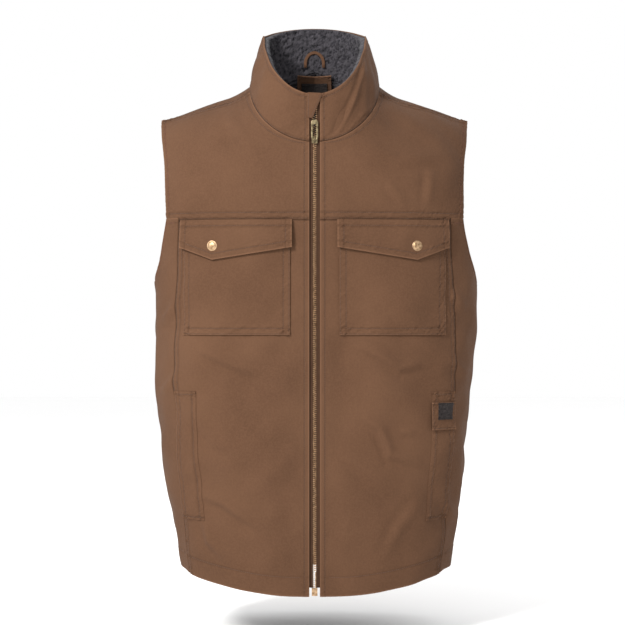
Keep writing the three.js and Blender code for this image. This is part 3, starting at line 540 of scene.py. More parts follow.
def cloth(name, face, level, thick, material, slot, body, kinds=(None,) * 4, steps=(0.0024, 0.0032),
          strength=1.0, lift=None, extra=None, flip=False, thread=None):
    """Cloth over face(u, v), between two levels. The edges' kinds are those of start, end, bottom and top."""
    probe = np.linspace(0, 1, 33)
    run = lambda p: float(np.linalg.norm(np.diff(p, axis=0), axis=1).sum())
    length_u = max(run(face(probe, np.full(33, v))) for v in (0.02, 0.5, 0.98))
    length_v = max(run(face(np.full(33, u), probe)) for u in (0.02, 0.5, 0.98))
    us = stops(length_u, kinds[0] is not None, kinds[1] is not None, steps[0])
    vs = stops(length_v, kinds[2] is not None, kinds[3] is not None, steps[1])
    u, v = np.meshgrid(us, vs)
    base = face(u, v)
    e = 1e-4
    su, sv = np.where(u < 0.5, e, -e), np.where(v < 0.5, e, -e)
    normal = np.cross((face(u + su, v) - base) * np.sign(su)[..., None],
                      (face(u, v + sv) - base) * np.sign(sv)[..., None])
    normal = unit(normal, 1e-15)
    reach = base * np.array([0.5, 0.7, 0]) + np.array([0, 0, 0.04])
    normal *= np.where(np.sum(normal * reach, -1) < 0, -1, 1)[..., None]
    gone = lambda axis: np.cumsum(np.linalg.norm(np.diff(base, axis=axis), axis=-1), axis)
    lu = np.concatenate([np.zeros((len(vs), 1)), gone(1)], 1)
    lv = np.concatenate([np.zeros((1, len(us))), gone(0)], 0)
    ripple = RIPPLE(base)
    detail, painted_light_and_wear = np.zeros(base.shape[:-1]), np.zeros(base.shape[:-1])
    for kind, away in zip(kinds, (lu, lu[:, -1:] - lu, lv, lv[-1:] - lv)):
        added, shade = edge_profile(kind, away, ripple)
        detail, painted_light_and_wear = detail + added, painted_light_and_wear + shade
    if extra is not None:
        added, shade = extra(base, u, v, lu, lv)
        detail, painted_light_and_wear = detail + added, painted_light_and_wear + shade
    follow = relief(base, strength) + (lift(u, v) if lift is not None else 0)
    sign = -1 if flip else 1
    top, bottom = (level - thick, level) if flip else (level, level - thick)
    shown = base + normal * (top + follow + sign * detail)[..., None]
    hidden = base + normal * (bottom + follow)[..., None]
    n, m = len(us), len(vs)
    index = np.arange(n * m).reshape(m, n)
    quads = np.stack([index[:-1, :-1], index[:-1, 1:], index[1:, 1:], index[1:, :-1]], -1).reshape(-1, 4)
    j, i = m // 2, n // 2
    away = sign * np.cross(base[j, i + 1] - base[j, i], base[j + 1, i] - base[j, i]) @ normal[j, i]
    shift = n * m
    rim = np.concatenate([index[0, :], index[1:, -1], index[-1, -2::-1], index[-2:0:-1, 0]])
    wall = np.stack([rim, rim + shift, np.roll(rim, -1) + shift, np.roll(rim, -1)], -1)
    if away < 0:
        quads, wall = quads[:, ::-1], wall[:, ::-1]
    faces = np.concatenate([quads, quads[:, ::-1] + shift, wall])
    verts = np.concatenate([shown.reshape(-1, 3), hidden.reshape(-1, 3)])
    weave = np.stack([lu, lv, np.zeros_like(lu)], -1).reshape(-1, 3)
    # The edges' painted shade and wear, and the pile's painted highlight, go to the materials as a point
    # attribute.
    attributes = {"weave": np.concatenate([weave] * 2), "painted_light_and_wear": np.concatenate([painted_light_and_wear.ravel()] * 2)}
    piece = add_mesh(name, verts, faces, material, body, True, attributes)
    facing = sign * normal
    for kind, line in edge_lines(kinds, shown, facing, lu, lv):
        key = "arm" if kind == "arm" else (thread or "vest")
        STITCHES.setdefault(key, []).append(line)
    return piece


def add_stitches(name, lines, material, body, radius=0.00033):
    """One small rounded mesh for each stitch along the lines."""
    rings = [(-0.36, 0.55, -0.5), (-0.2, 1, 0.25), (0.2, 1, 0.25), (0.36, 0.55, -0.5)]
    sides = 5
    verts, faces = [], []
    for points, normals, trim in lines:
        run = run_along(points)
        start, end = trim + 0.001, run[-1] - trim - 0.001
        count = int((end - start) / STITCH)
        if count < 1:
            continue
        middles = start + STITCH * (np.arange(count) + 0.5)
        place = lambda s: np.stack([np.interp(s, run, points[:, k]) for k in range(3)], -1)
        centre = place(middles)
        along = place(middles + 0.0006) - place(middles - 0.0006)
        along = unit(along, 1e-12)
        up = np.stack([np.interp(middles, run, normals[:, k]) for k in range(3)], -1)
        up -= np.sum(up * along, 1)[:, None] * along
        up = unit(up, 1e-12)
        across = np.cross(along, up)
        base = sum(len(v) for v in verts)
        block = []
        for shift, size, rise in rings:
            for k in range(sides):
                a = 2 * PI * k / sides
                block.append(centre + along * shift * STITCH * 1.1 + up * radius * (rise + size * math.sin(a))
                             + across * radius * 1.15 * size * math.cos(a))
        block = np.stack(block, 1)
        verts.append(block.reshape(-1, 3))
        per = len(rings) * sides
        quads = []
        for r in range(len(rings) - 1):
            for k in range(sides):
                n = (k + 1) % sides
                quads.append([r * sides + k, r * sides + n, (r + 1) * sides + n, (r + 1) * sides + k])
        quads = np.array(quads)
        offset = base + per * np.arange(count)[:, None, None]
        faces.extend((quads[None] + offset).reshape(-1, 4).tolist())
        caps = np.array([list(range(sides))[::-1], [per - sides + k for k in range(sides)]])
        faces.extend((caps[None] + offset).reshape(-1, sides).tolist())
    return add_mesh(name, np.concatenate(verts), faces, material, body)


# ---- materials ----
class Shading:
    """A node material as it is made."""

    def __init__(self, name):
        self.material = bpy.data.materials.new(name)
        self.material.use_nodes = True
        self.nodes, self.links = self.material.node_tree.nodes, self.material.node_tree.links
        self.shader = next(n for n in self.nodes if n.type == "BSDF_PRINCIPLED")

    def fill(self, socket, value):
        if isinstance(value, (int, float, tuple)):
            socket.default_value = value
        elif value is not None:
            self.links.new(value, socket)

    def place(self):
        return self.nodes.new("ShaderNodeTexCoord").outputs["Object"]

    def attribute(self, name, output):
        made = self.nodes.new("ShaderNodeAttribute")
        made.attribute_name = name
        return made.outputs[output]

    def texture(self, vector, kind="Noise", **settings):
        made = self.nodes.new(f"ShaderNodeTex{kind}")
        self.fill(made.inputs["Vector"], vector)
        for key, value in settings.items():
            made.inputs[key].default_value = value
        return made.outputs[0]

    def stretched(self, vector, scale):
        made = self.nodes.new("ShaderNodeMapping")
        made.inputs["Scale"].default_value = scale
        self.fill(made.inputs["Vector"], vector)
        return made.outputs[0]

    def maths(self, operation, *values):
        made = self.nodes.new("ShaderNodeMath")
        made.operation = operation
        for socket, value in zip(made.inputs, values):
            self.fill(socket, value)
        return made.outputs[0]

    def times(self, first, second):
        return self.maths("MULTIPLY", first, second)

    def clamped(self, value):
        made = self.nodes.new("ShaderNodeClamp")
        self.fill(made.inputs[0], value)
        return made.outputs[0]

    def ramp(self, source, colours):
        made = self.nodes.new("ShaderNodeValToRGB")
        spots = made.color_ramp.elements
        while len(spots) < len(colours):
            spots.new(0.5)
        for spot, (place, colour) in zip(spots, colours):
            spot.position, spot.color = place, colour
        self.fill(made.inputs["Fac"], source)
        return made.outputs["Color"]

    def mixed(self, factor, low, high):
        made = self.nodes.new("ShaderNodeMix")
        made.data_type = "RGBA"
        for key, value in (("Factor", factor), ("A", low), ("B", high)):
            self.fill(made.inputs[key], value)
        return made.outputs["Result"]

    def bump(self, height, strength, distance):
        made = self.nodes.new("ShaderNodeBump")
        for key, value in (("Strength", strength), ("Distance", distance), ("Height", height)):
            self.fill(made.inputs[key], value)
        self.fill(self.shader.inputs["Normal"], made.outputs[0])

    def finish(self, colour, **sockets):
        self.fill(self.shader.inputs["Base Color"], colour)
        for key, value in sockets.items():
            self.fill(self.shader.inputs[key.replace("_", " ")], value)
        return self.material


def srgb(red, green, blue):
    channel = lambda c: (c / 255 / 12.92) if c <= 10 else ((c / 255 + 0.055) / 1.055) ** 2.4
    return (channel(red), channel(green), channel(blue), 1)


def woven(name, base, light, dark, pitch=0.0011, bump=0.35, roughness=0.86, with_painted_shade_and_wear=True, twill=True):
    """Brushed cotton canvas: a fine diagonal weave, slubs and fade patches; with painted shade and wear, seam
    grooves and stitch lines are darkened as painted shade and worn folded edges are lighter.
    """
    make = Shading(name)
    place, weave = make.place(), make.attribute("weave", "Vector")
    split = make.nodes.new("ShaderNodeSeparateXYZ")
    make.fill(split.inputs[0], weave)
    u, v = split.outputs["X"], split.outputs["Y"]
    turn = 2 * PI / pitch
    slant = make.maths("ADD", u, make.times(v, 1.0 if twill else 0.0))
    warp = make.maths("SINE", make.times(slant, turn))
    weft = make.maths("SINE", make.times(v, turn * 1.35))
    cross = make.times(warp, weft)
    fuzz = make.texture(place, Scale=900.0, Detail=3.0)
    slub = make.texture(make.stretched(weave, (900, 70, 1)), Scale=1.0, Detail=4.0)
    patch = make.texture(place, Scale=9.0, Detail=5.0)
    blotch = make.texture(place, Scale=60.0, Detail=4.0)
    speck = make.texture(place, Scale=420.0, Detail=2.0)
    grains = make.ramp(speck, [(0.40, (0, 0, 0, 1)), (0.62, (1, 1, 1, 1))])
    colour = make.ramp(patch, [(0.20, dark), (0.50, base), (0.80, light)])
    colour = make.mixed(make.times(blotch, 0.22), colour, light)
    colour = make.mixed(make.times(slub, 0.5), colour, dark)
    colour = make.mixed(make.times(grains, 0.30), colour, light)
    colour = make.mixed(make.maths("MULTIPLY_ADD", cross, 0.10, 0.12), colour, dark)
    if with_painted_shade_and_wear:
        # Painted shade: the seams' grooves and stitch lines go darker. Worn folded edges go lighter.
        painted_light_and_wear = make.attribute("painted_light_and_wear", "Fac")
        shade, worn = make.clamped(make.times(painted_light_and_wear, -0.7)), make.clamped(make.times(painted_light_and_wear, 0.8))
        colour = make.mixed(shade, colour, tuple(0.38 * c for c in dark[:3]) + (1,))
        colour = make.mixed(worn, colour, tuple(min(1, 1.5 * c) for c in light[:3]) + (1,))
    height = make.maths("MULTIPLY_ADD", slub, 0.8, make.maths("MULTIPLY_ADD", cross, 0.5, fuzz))
    make.bump(height, bump, 0.0004)
    return make.finish(colour, Roughness=roughness, Sheen_Weight=0.02, Sheen_Roughness=0.5,
                       Specular_IOR_Level=0.06)


def sherpa(name):
    """Curly pile: short fibres in tufts, with painted shade in the gaps between tufts and a painted highlight
    on the curls' crests.
    """
    make = Shading(name)
    place = make.place()
    gap_shade = make.texture(place, "Voronoi", Scale=190.0)
    bend = make.texture(place, Scale=260.0, Detail=6.0, Distortion=2.5)
    fine = make.texture(place, Scale=1400.0, Detail=3.0)
    colour = make.ramp(bend, [(0.30, srgb(17, 16, 20)), (0.52, srgb(41, 39, 45)), (0.72, srgb(80, 77, 83))])
    # Painted shade: near black towards the borders between tufts.
    colour = make.mixed(make.times(gap_shade, 0.9), colour, srgb(20, 19, 22))
    # Painted highlight: lighter on the curls' crests.
    tip = make.clamped(make.times(make.attribute("painted_light_and_wear", "Fac"), 0.4))
    colour = make.mixed(tip, colour, srgb(92, 88, 93))
    make.bump(make.maths("MULTIPLY_ADD", fine, 0.35, bend), 0.9, 0.0012)
    return make.finish(colour, Roughness=0.95, Sheen_Weight=0.08, Sheen_Roughness=0.6, Specular_IOR_Level=0.2)


def metal(name, bright, dull, roughness):
    """Plated or antique metal, with tarnish and fine scratches."""
    make = Shading(name)
    place = make.place()
    stain = make.texture(place, Scale=260.0, Detail=6.0)
    scratch = make.texture(make.stretched(place, (3200, 3200, 260)), Scale=1.0, Detail=2.0)
    make.bump(scratch, 0.18, 0.0002)
    rough = make.maths("MULTIPLY_ADD", stain, 0.22, roughness - 0.1)
    return make.finish(make.ramp(stain, [(0.35, dull), (0.62, bright)]), Roughness=rough, Metallic=1.0)


def thread_material(name, colour, dark):
    make = Shading(name)
    ply = make.texture(make.place(), Scale=1800.0, Detail=2.0)
    make.bump(ply, 0.4, 0.0002)
    return make.finish(make.ramp(ply, [(0.35, dark), (0.65, colour)]), Roughness=0.7)


CLOTH = woven("canvas", srgb(86, 61, 45), srgb(98, 71, 53), srgb(72, 50, 36))
TRIM = woven("trim_canvas", srgb(88, 63, 47), srgb(102, 74, 56), srgb(70, 49, 36))
FUR = sherpa("curly_pile")
BAG = woven("pocketing", srgb(46, 42, 42), srgb(62, 57, 56), srgb(30, 27, 27),
            pitch=0.0008, bump=0.2, with_painted_shade_and_wear=False)
TAPE = woven("zip_tape_cloth", srgb(66, 46, 34), srgb(78, 56, 42), srgb(48, 33, 24),
             pitch=0.0009, with_painted_shade_and_wear=False)
BRASS = metal("brass", srgb(190, 160, 128), srgb(128, 102, 74), 0.44)
TEETH = metal("tooth_brass", srgb(214, 180, 144), srgb(150, 118, 88), 0.36)
DARK_BRASS = metal("dark_brass", srgb(140, 126, 98), srgb(78, 68, 50), 0.40)
LABEL = woven("woven_label", srgb(42, 38, 38), srgb(74, 68, 66), srgb(20, 18, 18),
              pitch=0.0007, bump=0.3, with_painted_shade_and_wear=False, twill=False)
THREAD = thread_material("thread", srgb(90, 63, 46), srgb(62, 42, 31))


# ---- shell ----
HANDS = ((-1, "right"), (1, "left"))
PLACKET, SEAM, HEM, ARM = ("turned", 0.007), ("fell", 0.002, 0.008), ("turned", HEM_TURN), ("arm", 0.007)
LAPPED, LAP_ABOVE, BLIND = ("lap", 0.0022), ("flat", 0.006), ("fell",)
COLLAR_EDGE, TURNED, LABEL_EDGE = ("turned", 0.006), ("turned", 0.002), ("turned", 0.0016)
BAG_EDGE = ("turned", 0.004)


def sewn(node, face, level=0, kinds=(None,) * 4, steps=(0.0024, 0.0032), thick=CANVAS,
         look=(CLOTH, "canvas"), ending="cloth", **more):
    """A cloth piece on the vest's body that stands for a CAD node."""
    piece = cloth(f"{node}_{ending}", face, level, thick, *look, "vest", kinds, steps, **more)
    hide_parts(node)


def furry(node, face, level=LINING_LEVEL, thick=PILE, steps=(0.0030, 0.0030)):
    sewn(node, face, level, steps=steps, thick=thick, look=(FUR, "sherpa"), ending="pile",
         extra=pile, flip=True)


def add_shell():
    front_edge = lambda z: front_angle(EDGE_X, z)
    for side, tag in HANDS:
        sewn(f"front_panel_{tag}", body_face(side, front_edge, front_seam), 0, (PLACKET, SEAM, HEM, LAPPED))
        sewn(f"side_panel_{tag}", body_face(side, front_seam, back_seam), 0, (BLIND, BLIND, HEM, ARM))
        sewn(f"front_yoke_{tag}", front_yoke_face(side, EDGE_X), 0, (PLACKET, ARM, LAP_ABOVE, SEAM),
             (0.0014, 0.0024))

    def back_face(u, v):
        level = lerp(-FRONT_DROP, -YOKE_DROP, v)
        angle = lerp(back_seam(level), 2 * PI - back_seam(level), u)
        return around(angle, lerp(hem_edge(angle), -YOKE_DROP, v))
    sewn("back_panel", back_face, 0, (SEAM, SEAM, HEM, LAPPED))
    sewn("back_yoke", back_yoke_face(), 0, (ARM, ARM, LAP_ABOVE, SEAM), (0.0018, 0.0026))


def collar_folds(base, u, v, lu, lv):
    """Soft creases that run down and round a stand collar."""
    way = np.sin(lu * 2 * PI / 0.061 + 5 * v) + 0.6 * np.sin(lu * 2 * PI / 0.037 - 4 * v + 1.3)
    right = smooth(base[..., 0], 0.0, 0.03)
    ridge_line = base[..., 0] - lerp(0.030, 0.078, v)
    crease = np.exp(-(ridge_line / 0.0045) ** 2) - np.exp(-((ridge_line + 0.010) / 0.0055) ** 2)
    low_line = base[..., 2] - lerp(-0.105, -0.045, smooth(base[..., 0], 0.02, 0.085))
    crease = crease + 0.8 * np.exp(-(low_line / 0.0045) ** 2)
    front = smooth(-base[..., 1], 0.0, 0.04)
    return (0.0009 * way + 0.0022 * right * front * crease) * np.sin(PI * v) ** 0.7, 0 * v


def add_collar():
    edges = (COLLAR_EDGE, COLLAR_EDGE, ("fell", 0.002), COLLAR_EDGE)
    sewn("collar_shell", collar_face(EDGE_X, 0, 1), 0, edges, (0.002, 0.002), extra=collar_folds)
    furry("collar_lining", collar_face(TAPE_X + 0.004, -0.10, 0.985), -0.0018, 0.0070, (0.0019, 0.0019))


def pile(base, u, v, lu, lv):
    """Height of the curls of the pile, and the curls' crests, which the pile material lightens as a painted
    highlight.
    """
    curl = 1 - np.abs(CURL_A(base + 0.0015 * CURL_B(base)[..., None]))
    return 0.0014 * curl + 0.0009 * CURL_B(base), curl


def add_linings():
    facing_edge, middle = (lambda z: front_angle(FACING_WIDTH, z)), (lambda z: QUARTER)
    over_hem = HEM_TURN + PLY_GAP
    for side, tag in HANDS:
        furry(f"lining_{tag}", body_face(side, facing_edge, middle, over_hem))
        furry(f"yoke_lining_{tag}", shrunk(front_yoke_face(side, EDGE_X), 0.22, 0.04, 0.04),
              steps=(0.0024, 0.0024))

        def front(u, v, side=side):
            low = -FRONT_DROP + PLY_GAP
            return front_at(side * lerp(EDGE_X, FACING_WIDTH, u), lerp(low, -NECK_FRONT_DROP - 0.004, v))
        sewn(f"front_facing_{tag}", front, FACING_LEVEL, (None, TURNED, None, None), look=(TRIM, "canvas"),
             flip=True)

    def back_face(u, v):
        angle = lerp(QUARTER, 3 * QUARTER, u)
        return around(angle, lerp(hem_edge(angle) + over_hem, top_edge(angle), v))
    furry("lining_back", back_face)
    furry("yoke_lining_back", shrunk(back_yoke_face(), 0.03, 0.03, 0.0), steps=(0.0020, 0.0020))
    start = front_angle(FACING_WIDTH + HEM_TURN, -FRONT_DROP)

    def hem_face(u, v):
        angle = lerp(start, 2 * PI - start, u)
        return around(angle, hem_edge(angle) + lerp(PLY_GAP, HEM_TURN, v))
    sewn("hem_facing", hem_face, TRIM_LEVEL, (None, None, None, TURNED), look=(TRIM, "canvas"), flip=True)


# ---- armhole facings: a strip turned in over the shell's edge ----
def armhole_spots(hand, t):
    """Points of the armhole's edge and the normals there: up the front, down the back, under the arm."""
    ahead, behind = front_angle(ARMHOLE_X, -YOKE_DROP), back_angle(ARMHOLE_X, -YOKE_DROP)
    t = t - np.floor(t)
    up = armhole_front(hand)(np.clip(t / 0.3, 0, 1))
    down = armhole_back(hand)(np.clip(1 - (t - 0.3) / 0.35, 0, 1))
    swing = lerp(-1, 1, np.clip((t - 0.65) / 0.35, 0, 1))
    angle = (behind + ahead) / 2 - (swing + swing ** 3) / 2 * (behind - ahead) / 2
    height = top_edge(angle)
    first, second = (t < 0.3)[..., None], (t < 0.65)[..., None]
    points = np.where(first, over(*up), np.where(second, over(*down), around(hand * angle, height)))
    normals = np.where(first, normal_of(over, *up),
                       np.where(second, normal_of(over, *down), normal_of(around, hand * angle, height)))
    return points, normals


def normal_of(face, first, second):
    """Outward normal of the torso where face(first, second) lies on it."""
    step = 1e-4
    one = face(first + step, second) - face(first - step, second)
    two = face(first, second + step) - face(first, second - step)
    normal = np.cross(one, two)
    here = face(first, second)
    sign = np.sign(np.sum(normal * (here * np.array([0.5, 0.7, 0]) + np.array([0, 0, 0.04])), -1))
    return normal * (sign / np.linalg.norm(normal, axis=-1))[..., None]


# The strip's section in millimetres: how far in from the edge, and how far out of the torso's face.
FACING_SECTION = [(0.0, -1.75), (-0.5, -2.6), (-0.6, -3.8), (-0.2, -4.8), (1.0, -5.1), (5.5, -4.9),
                  (9.6, -4.7), (10.0, -4.2), (9.6, -3.75), (5.5, -3.7), (1.6, -3.5), (1.2, -2.4),
                  (0.9, -1.75)]
ARMHOLE_SPOTS, ARMHOLE_ROUND = 300, 0.8


def add_armhole_facings():
    section = np.array(FACING_SECTION) * MM
    size = (ARMHOLE_SPOTS, len(section))
    share = np.arange(ARMHOLE_SPOTS) / ARMHOLE_SPOTS
    for hand, tag in HANDS:
        pace = evenly(lambda t: armhole_spots(hand, t)[0], 0, 0.999999)
        here, outward = armhole_spots(hand, pace(share))
        for _ in range(6):
            outward = (np.roll(outward, 1, 0) + outward + np.roll(outward, -1, 0)) / 3
        outward = unit(outward)
        into = unit(np.cross(outward, np.roll(here, -1, 0) - np.roll(here, 1, 0)))
        drop = np.where(here[:, 2] < -YOKE_DROP, -2.0, 0.0)
        towards = np.stack([-hand + 0 * share, 0 * share, drop], -1)
        into *= np.where(np.sum(into * towards, -1) < 0, -1, 1)[:, None]
        follow = relief(here)[:, None]
        verts = np.stack([here + into * a + outward * (b + follow) for a, b in section], 1)
        index = np.arange(size[0] * size[1]).reshape(size)
        ahead, beside = np.roll(index, -1, 0), np.roll(index, -1, 1)
        faces = np.stack([index, beside, np.roll(ahead, -1, 1), ahead], -1).reshape(-1, 4)
        turned = np.cross(verts[1, 0] - verts[0, 0], verts[0, 1] - verts[0, 0])
        if turned @ (verts[0, 0] - verts[0].mean(0)) > 0:
            faces = faces[:, ::-1]
        across = np.tile(run_along(section), (ARMHOLE_SPOTS, 1))
        weave = np.stack([np.broadcast_to(share[:, None] * ARMHOLE_ROUND, size), across, 0 * across], -1)
        looks = {"weave": weave.reshape(-1, 3), "painted_light_and_wear": np.zeros(index.size)}
        piece = add_mesh(f"armhole_facing_{tag}_cloth", verts.reshape(-1, 3), faces, TRIM, "vest",
                         attributes=looks)
        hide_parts(f"armhole_facing_{tag}")


def bulge(height, power=0.7):
    return lambda u, v: height * (np.sin(PI * np.clip(u, 0, 1)) * np.sin(PI * np.clip(v, 0, 1))) ** power


def flap_lift(v):
    """The flap stands further out towards its point, over the pocket and the snap."""
    return (FLAP_LIFT - 2 * PLY_GAP - CANVAS) * smooth(1 - v, 0, 0.6)


def blend_flap(piece):
    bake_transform(piece)


def add_chest_pockets():
    turn = (SNAP_X - POCKET_X[0]) / (POCKET_X[1] - POCKET_X[0])
    corner = lambda low, high: (lambda u: np.where(u < turn, lerp(low, SNAP_X, u / turn),
                                                   lerp(SNAP_X, high, (u - turn) / (1 - turn))))
    across, flap_across = corner(*POCKET_X), corner(*FLAP_X)
    edge = ("turned", 0.0013, 0.0093)
    for hand, tag in HANDS:
        pocket_face = lambda u, v: front_at(hand * across(u), lerp(*POCKET_Z, v))
        sewn(f"chest_pocket_{tag}", pocket_face, PLY_GAP + CANVAS, (edge, edge, edge, ("turned", 0.016)),
             (0.0018, 0.0018), lift=bulge(0.0022))

        def flap_face(u, v):
            x = flap_across(u)
            reach = np.where(x < SNAP_X, (x - FLAP_X[0]) / (SNAP_X - FLAP_X[0]),
                             (FLAP_X[1] - x) / (FLAP_X[1] - SNAP_X))
            return front_at(hand * x, lerp(lerp(FLAP_CORNER, FLAP_POINT, reach), FLAP_TOP, v))
        lift = lambda u, v: flap_lift(v) + bulge(0.0010)(u, v)
        joint = f"chest_flap_{tag}"
        flap = cloth(f"{joint}_cloth", flap_face, 2 * (PLY_GAP + CANVAS), CANVAS, CLOTH, "canvas", None,
                     (("turned", 0.009),) * 3 + (("flat", 0.0085),), (0.0014, 0.0012), lift=lift,
                     thread=joint)
        blend_flap(flap)
        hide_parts(joint)


# ---- hand pockets ----
def seam_curve(hand, z, inset):
    return around(hand * front_angle(seam_x(z) - inset, z), z)


def welt_lift(u, v):
    """The welt swells out of the panel, with soft edges on all but the seam side."""
    ends = smooth(np.minimum(v, 1 - v), 0, 0.045)
    return -0.0015 * (1 - smooth(u, 0, 0.32) * ends)


def add_hand_pockets():
    for hand, tag in HANDS:
        welt_face = lambda u, v: seam_curve(hand, lerp(*WELT_Z, v), lerp(WELT_WIDTH, 0.001, u))
        sewn(f"hand_pocket_welt_{tag}", welt_face, PLY_GAP + CANVAS,
             (("flat", 0.0060), ("turned", 0.0018, 0.0085), ("flat", 0.0040), ("flat", 0.0040)),
             (0.0016, 0.0020), lift=welt_lift)
        bag_z = (WELT_Z[0] - BAG_DROP, WELT_Z[1])
        bag_face = lambda u, v: seam_curve(hand, lerp(*bag_z, v), lerp(*BAG_INSET, u))
        sewn(f"hand_pocket_bag_{tag}", bag_face, FACING_LEVEL, (BAG_EDGE, None, BAG_EDGE, None),
             thick=THIN_CLOTH, look=(BAG, "pocketing"), flip=True)
    level = 2 * (PLY_GAP + CANVAS)
    patch_face = lambda u, v: seam_curve(1, lerp(*PATCH_Z, v), lerp(*PATCH_INSET, u))
    cloth("pocket_patch", patch_face, level, THIN_CLOTH, CLOTH, "canvas", "vest", (TURNED,) * 4, LABEL_STEPS,
          lift=bulge(0.0006))
    label_face = lambda u, v: seam_curve(1, lerp(*LABEL_Z, v), lerp(*LABEL_INSET, u))
    sewn("pocket_label", label_face, level + THIN_CLOTH, (LABEL_EDGE,) * 4, LABEL_STEPS, 0.0008,
         (LABEL, "woven_label"), lift=bulge(0.0005), thread="label")


# ---- neck patch, label and hang loop ----
def add_neck_pieces():
    def square(half, low, high):
        return lambda u, v: back_at(lerp(-half, half, u), lerp(low, high, v))
    inner = LINING_LEVEL - PILE - 0.0018
    sewn("neck_patch", square(*NECK_PATCH), inner, (TURNED,) * 4, (0.0014, 0.0014), look=(TRIM, "canvas"),
         flip=True)
    sewn("neck_label", square(*NECK_LABEL), inner - CANVAS - 0.0004, (LABEL_EDGE,) * 4, LABEL_STEPS, 0.0009,
         (LABEL, "woven_label"), flip=True, thread="label")
    angles = np.linspace(0, PI, 41)
    wide, tall = LOOP_HALF_WIDTH - LOOP_BAR / 2, LOOP_HEIGHT - LOOP_BAR / 2
    path = np.stack([wide * np.cos(angles), 0 * angles + LOOP_Y, LOOP_FOOT + tall * np.sin(angles)], -1)
    path = np.concatenate([path[:1] - [0, 0, 0.006], path, path[-1:] - [0, 0, 0.006]])
    loop = tube("hang_loop_tape", path, 0.0023, 0.00065, (0, 1, 0), TRIM, "canvas", "loop")
    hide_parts("hang_loop")


# ---- hardware ----
SQUARENESS = 0.55


def ring_quads(index):
    """Four-sided faces between closed rings of points, one after another."""
    ahead = np.roll(index, -1, 1)
    return np.stack([index[:-1], ahead[:-1], ahead[1:], index[1:]], -1).reshape(-1, 4)


def tube(name, path, wide, thick, facing, material, slot, body, sides=14):
    """A bar of rounded section along a path; thick is measured along facing."""
    path = np.asarray(path, float)
    along = np.gradient(path, axis=0)
    along = unit(along)
    facing = np.asarray(facing, float)
    across = np.cross(along, facing)
    across = unit(across)
    up = np.cross(across, along)
    angle = np.linspace(0, 2 * PI, sides, endpoint=False)
    shape = lambda c: np.sign(c) * np.abs(c) ** SQUARENESS
    ring = np.stack([shape(np.cos(angle)) * wide, shape(np.sin(angle)) * thick], -1)
    verts = path[:, None] + across[:, None] * ring[None, :, :1] + up[:, None] * ring[None, :, 1:]
    n = len(path)
    index = np.arange(n * sides).reshape(n, sides)
    faces = ring_quads(index).tolist() + [index[0][::-1].tolist(), index[-1].tolist()]
    run = run_along(path)
    weave = np.stack([np.tile(angle / (2 * PI) * 0.006, (n, 1)), np.repeat(run[:, None], sides, 1),
                      np.zeros((n, sides))], -1).reshape(-1, 3)
    return add_mesh(name, verts.reshape(-1, 3), faces, material, body, True,
                    {"weave": weave, "painted_light_and_wear": np.zeros(n * sides)})


def rounded(points, radius, steps=6):
    """A closed outline with its corners rounded."""
    points = np.asarray(points, float)
    outline = []
    for k, corner in enumerate(points):
        before, after = points[k - 1] - corner, points[(k + 1) % len(points)] - corner
        a, b = np.linalg.norm(before), np.linalg.norm(after)
        cut = min(radius, a * 0.45, b * 0.45)
        first, last = corner + before / a * cut, corner + after / b * cut
        for t in np.linspace(0, 1, steps):
            outline.append((1 - t) ** 2 * first + 2 * t * (1 - t) * corner + t * t * last)
    return np.array(outline)


def area_of(outline):
    """Twice the signed area of a closed outline."""
    x, z = outline.T
    return np.sum(x * np.roll(z, -1) - np.roll(x, -1) * z)


def inset(outline, amount):
    along = np.roll(outline, -1, 0) - np.roll(outline, 1, 0)
    along = unit(along, 1e-9)
    return outline + np.sign(area_of(outline)) * amount * np.stack([-along[:, 1], along[:, 0]], -1)


def plate(name, outline, y0, y1, edge, material, slot, body, hole=None):
    """A plate in X and Z between two depths, with rounded edges, and a hole of as many points if given."""
    outline = np.asarray(outline, float)
    bevel = 0.3 * edge
    levels = [(y0, edge), (y0 + bevel, bevel), (y0 + edge, 0)]
    levels += [(y1 - edge, 0), (y1 - bevel, bevel), (y1, edge)]
    rings = [(inset(outline, cut), y) for y, cut in levels]
    if hole is not None:
        rings += [(inset(np.asarray(hole, float), -cut), y) for y, cut in levels[::-1]]
    verts = np.concatenate([np.insert(ring, 1, y, axis=1) for ring, y in rings])
    n, m = len(outline), len(rings)
    index = np.arange(n * m).reshape(m, n)
    following = np.roll(index, -1, 0) if hole is not None else index[1:]
    first = index if hole is not None else index[:-1]
    quads = np.stack([first, following, np.roll(following, -1, 1), np.roll(first, -1, 1)], -1).reshape(-1, 4)
    area = area_of(outline)
    if area < 0:
        quads = quads[:, ::-1]
    faces = quads.tolist()
    if hole is None:
        front, back = index[0].tolist(), index[-1].tolist()
        faces += [front, back[::-1]] if area > 0 else [front[::-1], back]
    weave = np.stack([verts[:, 0], verts[:, 2], 0 * verts[:, 0]], -1)
    return add_mesh(name, verts, faces, material, body, True,
                    {"weave": weave, "painted_light_and_wear": np.zeros(len(verts))})


def lathe(name, profile, centre, normal, material, body, sides=48):
    normal = np.asarray(normal, float)
    first = np.cross(normal, [0, 0, 1.0])
    first /= np.linalg.norm(first)
    second = np.cross(normal, first)
    angle = np.linspace(0, 2 * PI, sides, endpoint=False)
    rings = [centre + normal * h + r * (np.cos(angle)[:, None] * first + np.sin(angle)[:, None] * second)
             for r, h in profile]
    verts = np.concatenate(rings + [[centre + normal * profile[0][1]], [centre + normal * profile[-1][1]]])
    n, m = sides, len(profile)
    index = np.arange(n * m).reshape(m, n)
    faces = ring_quads(index).tolist()
    faces += [[n * m, int(index[0][(k + 1) % n]), int(index[0][k])] for k in range(n)]
    faces += [[n * m + 1, int(index[-1][k]), int(index[-1][(k + 1) % n])] for k in range(n)]
    return add_mesh(name, verts, faces, material, body)


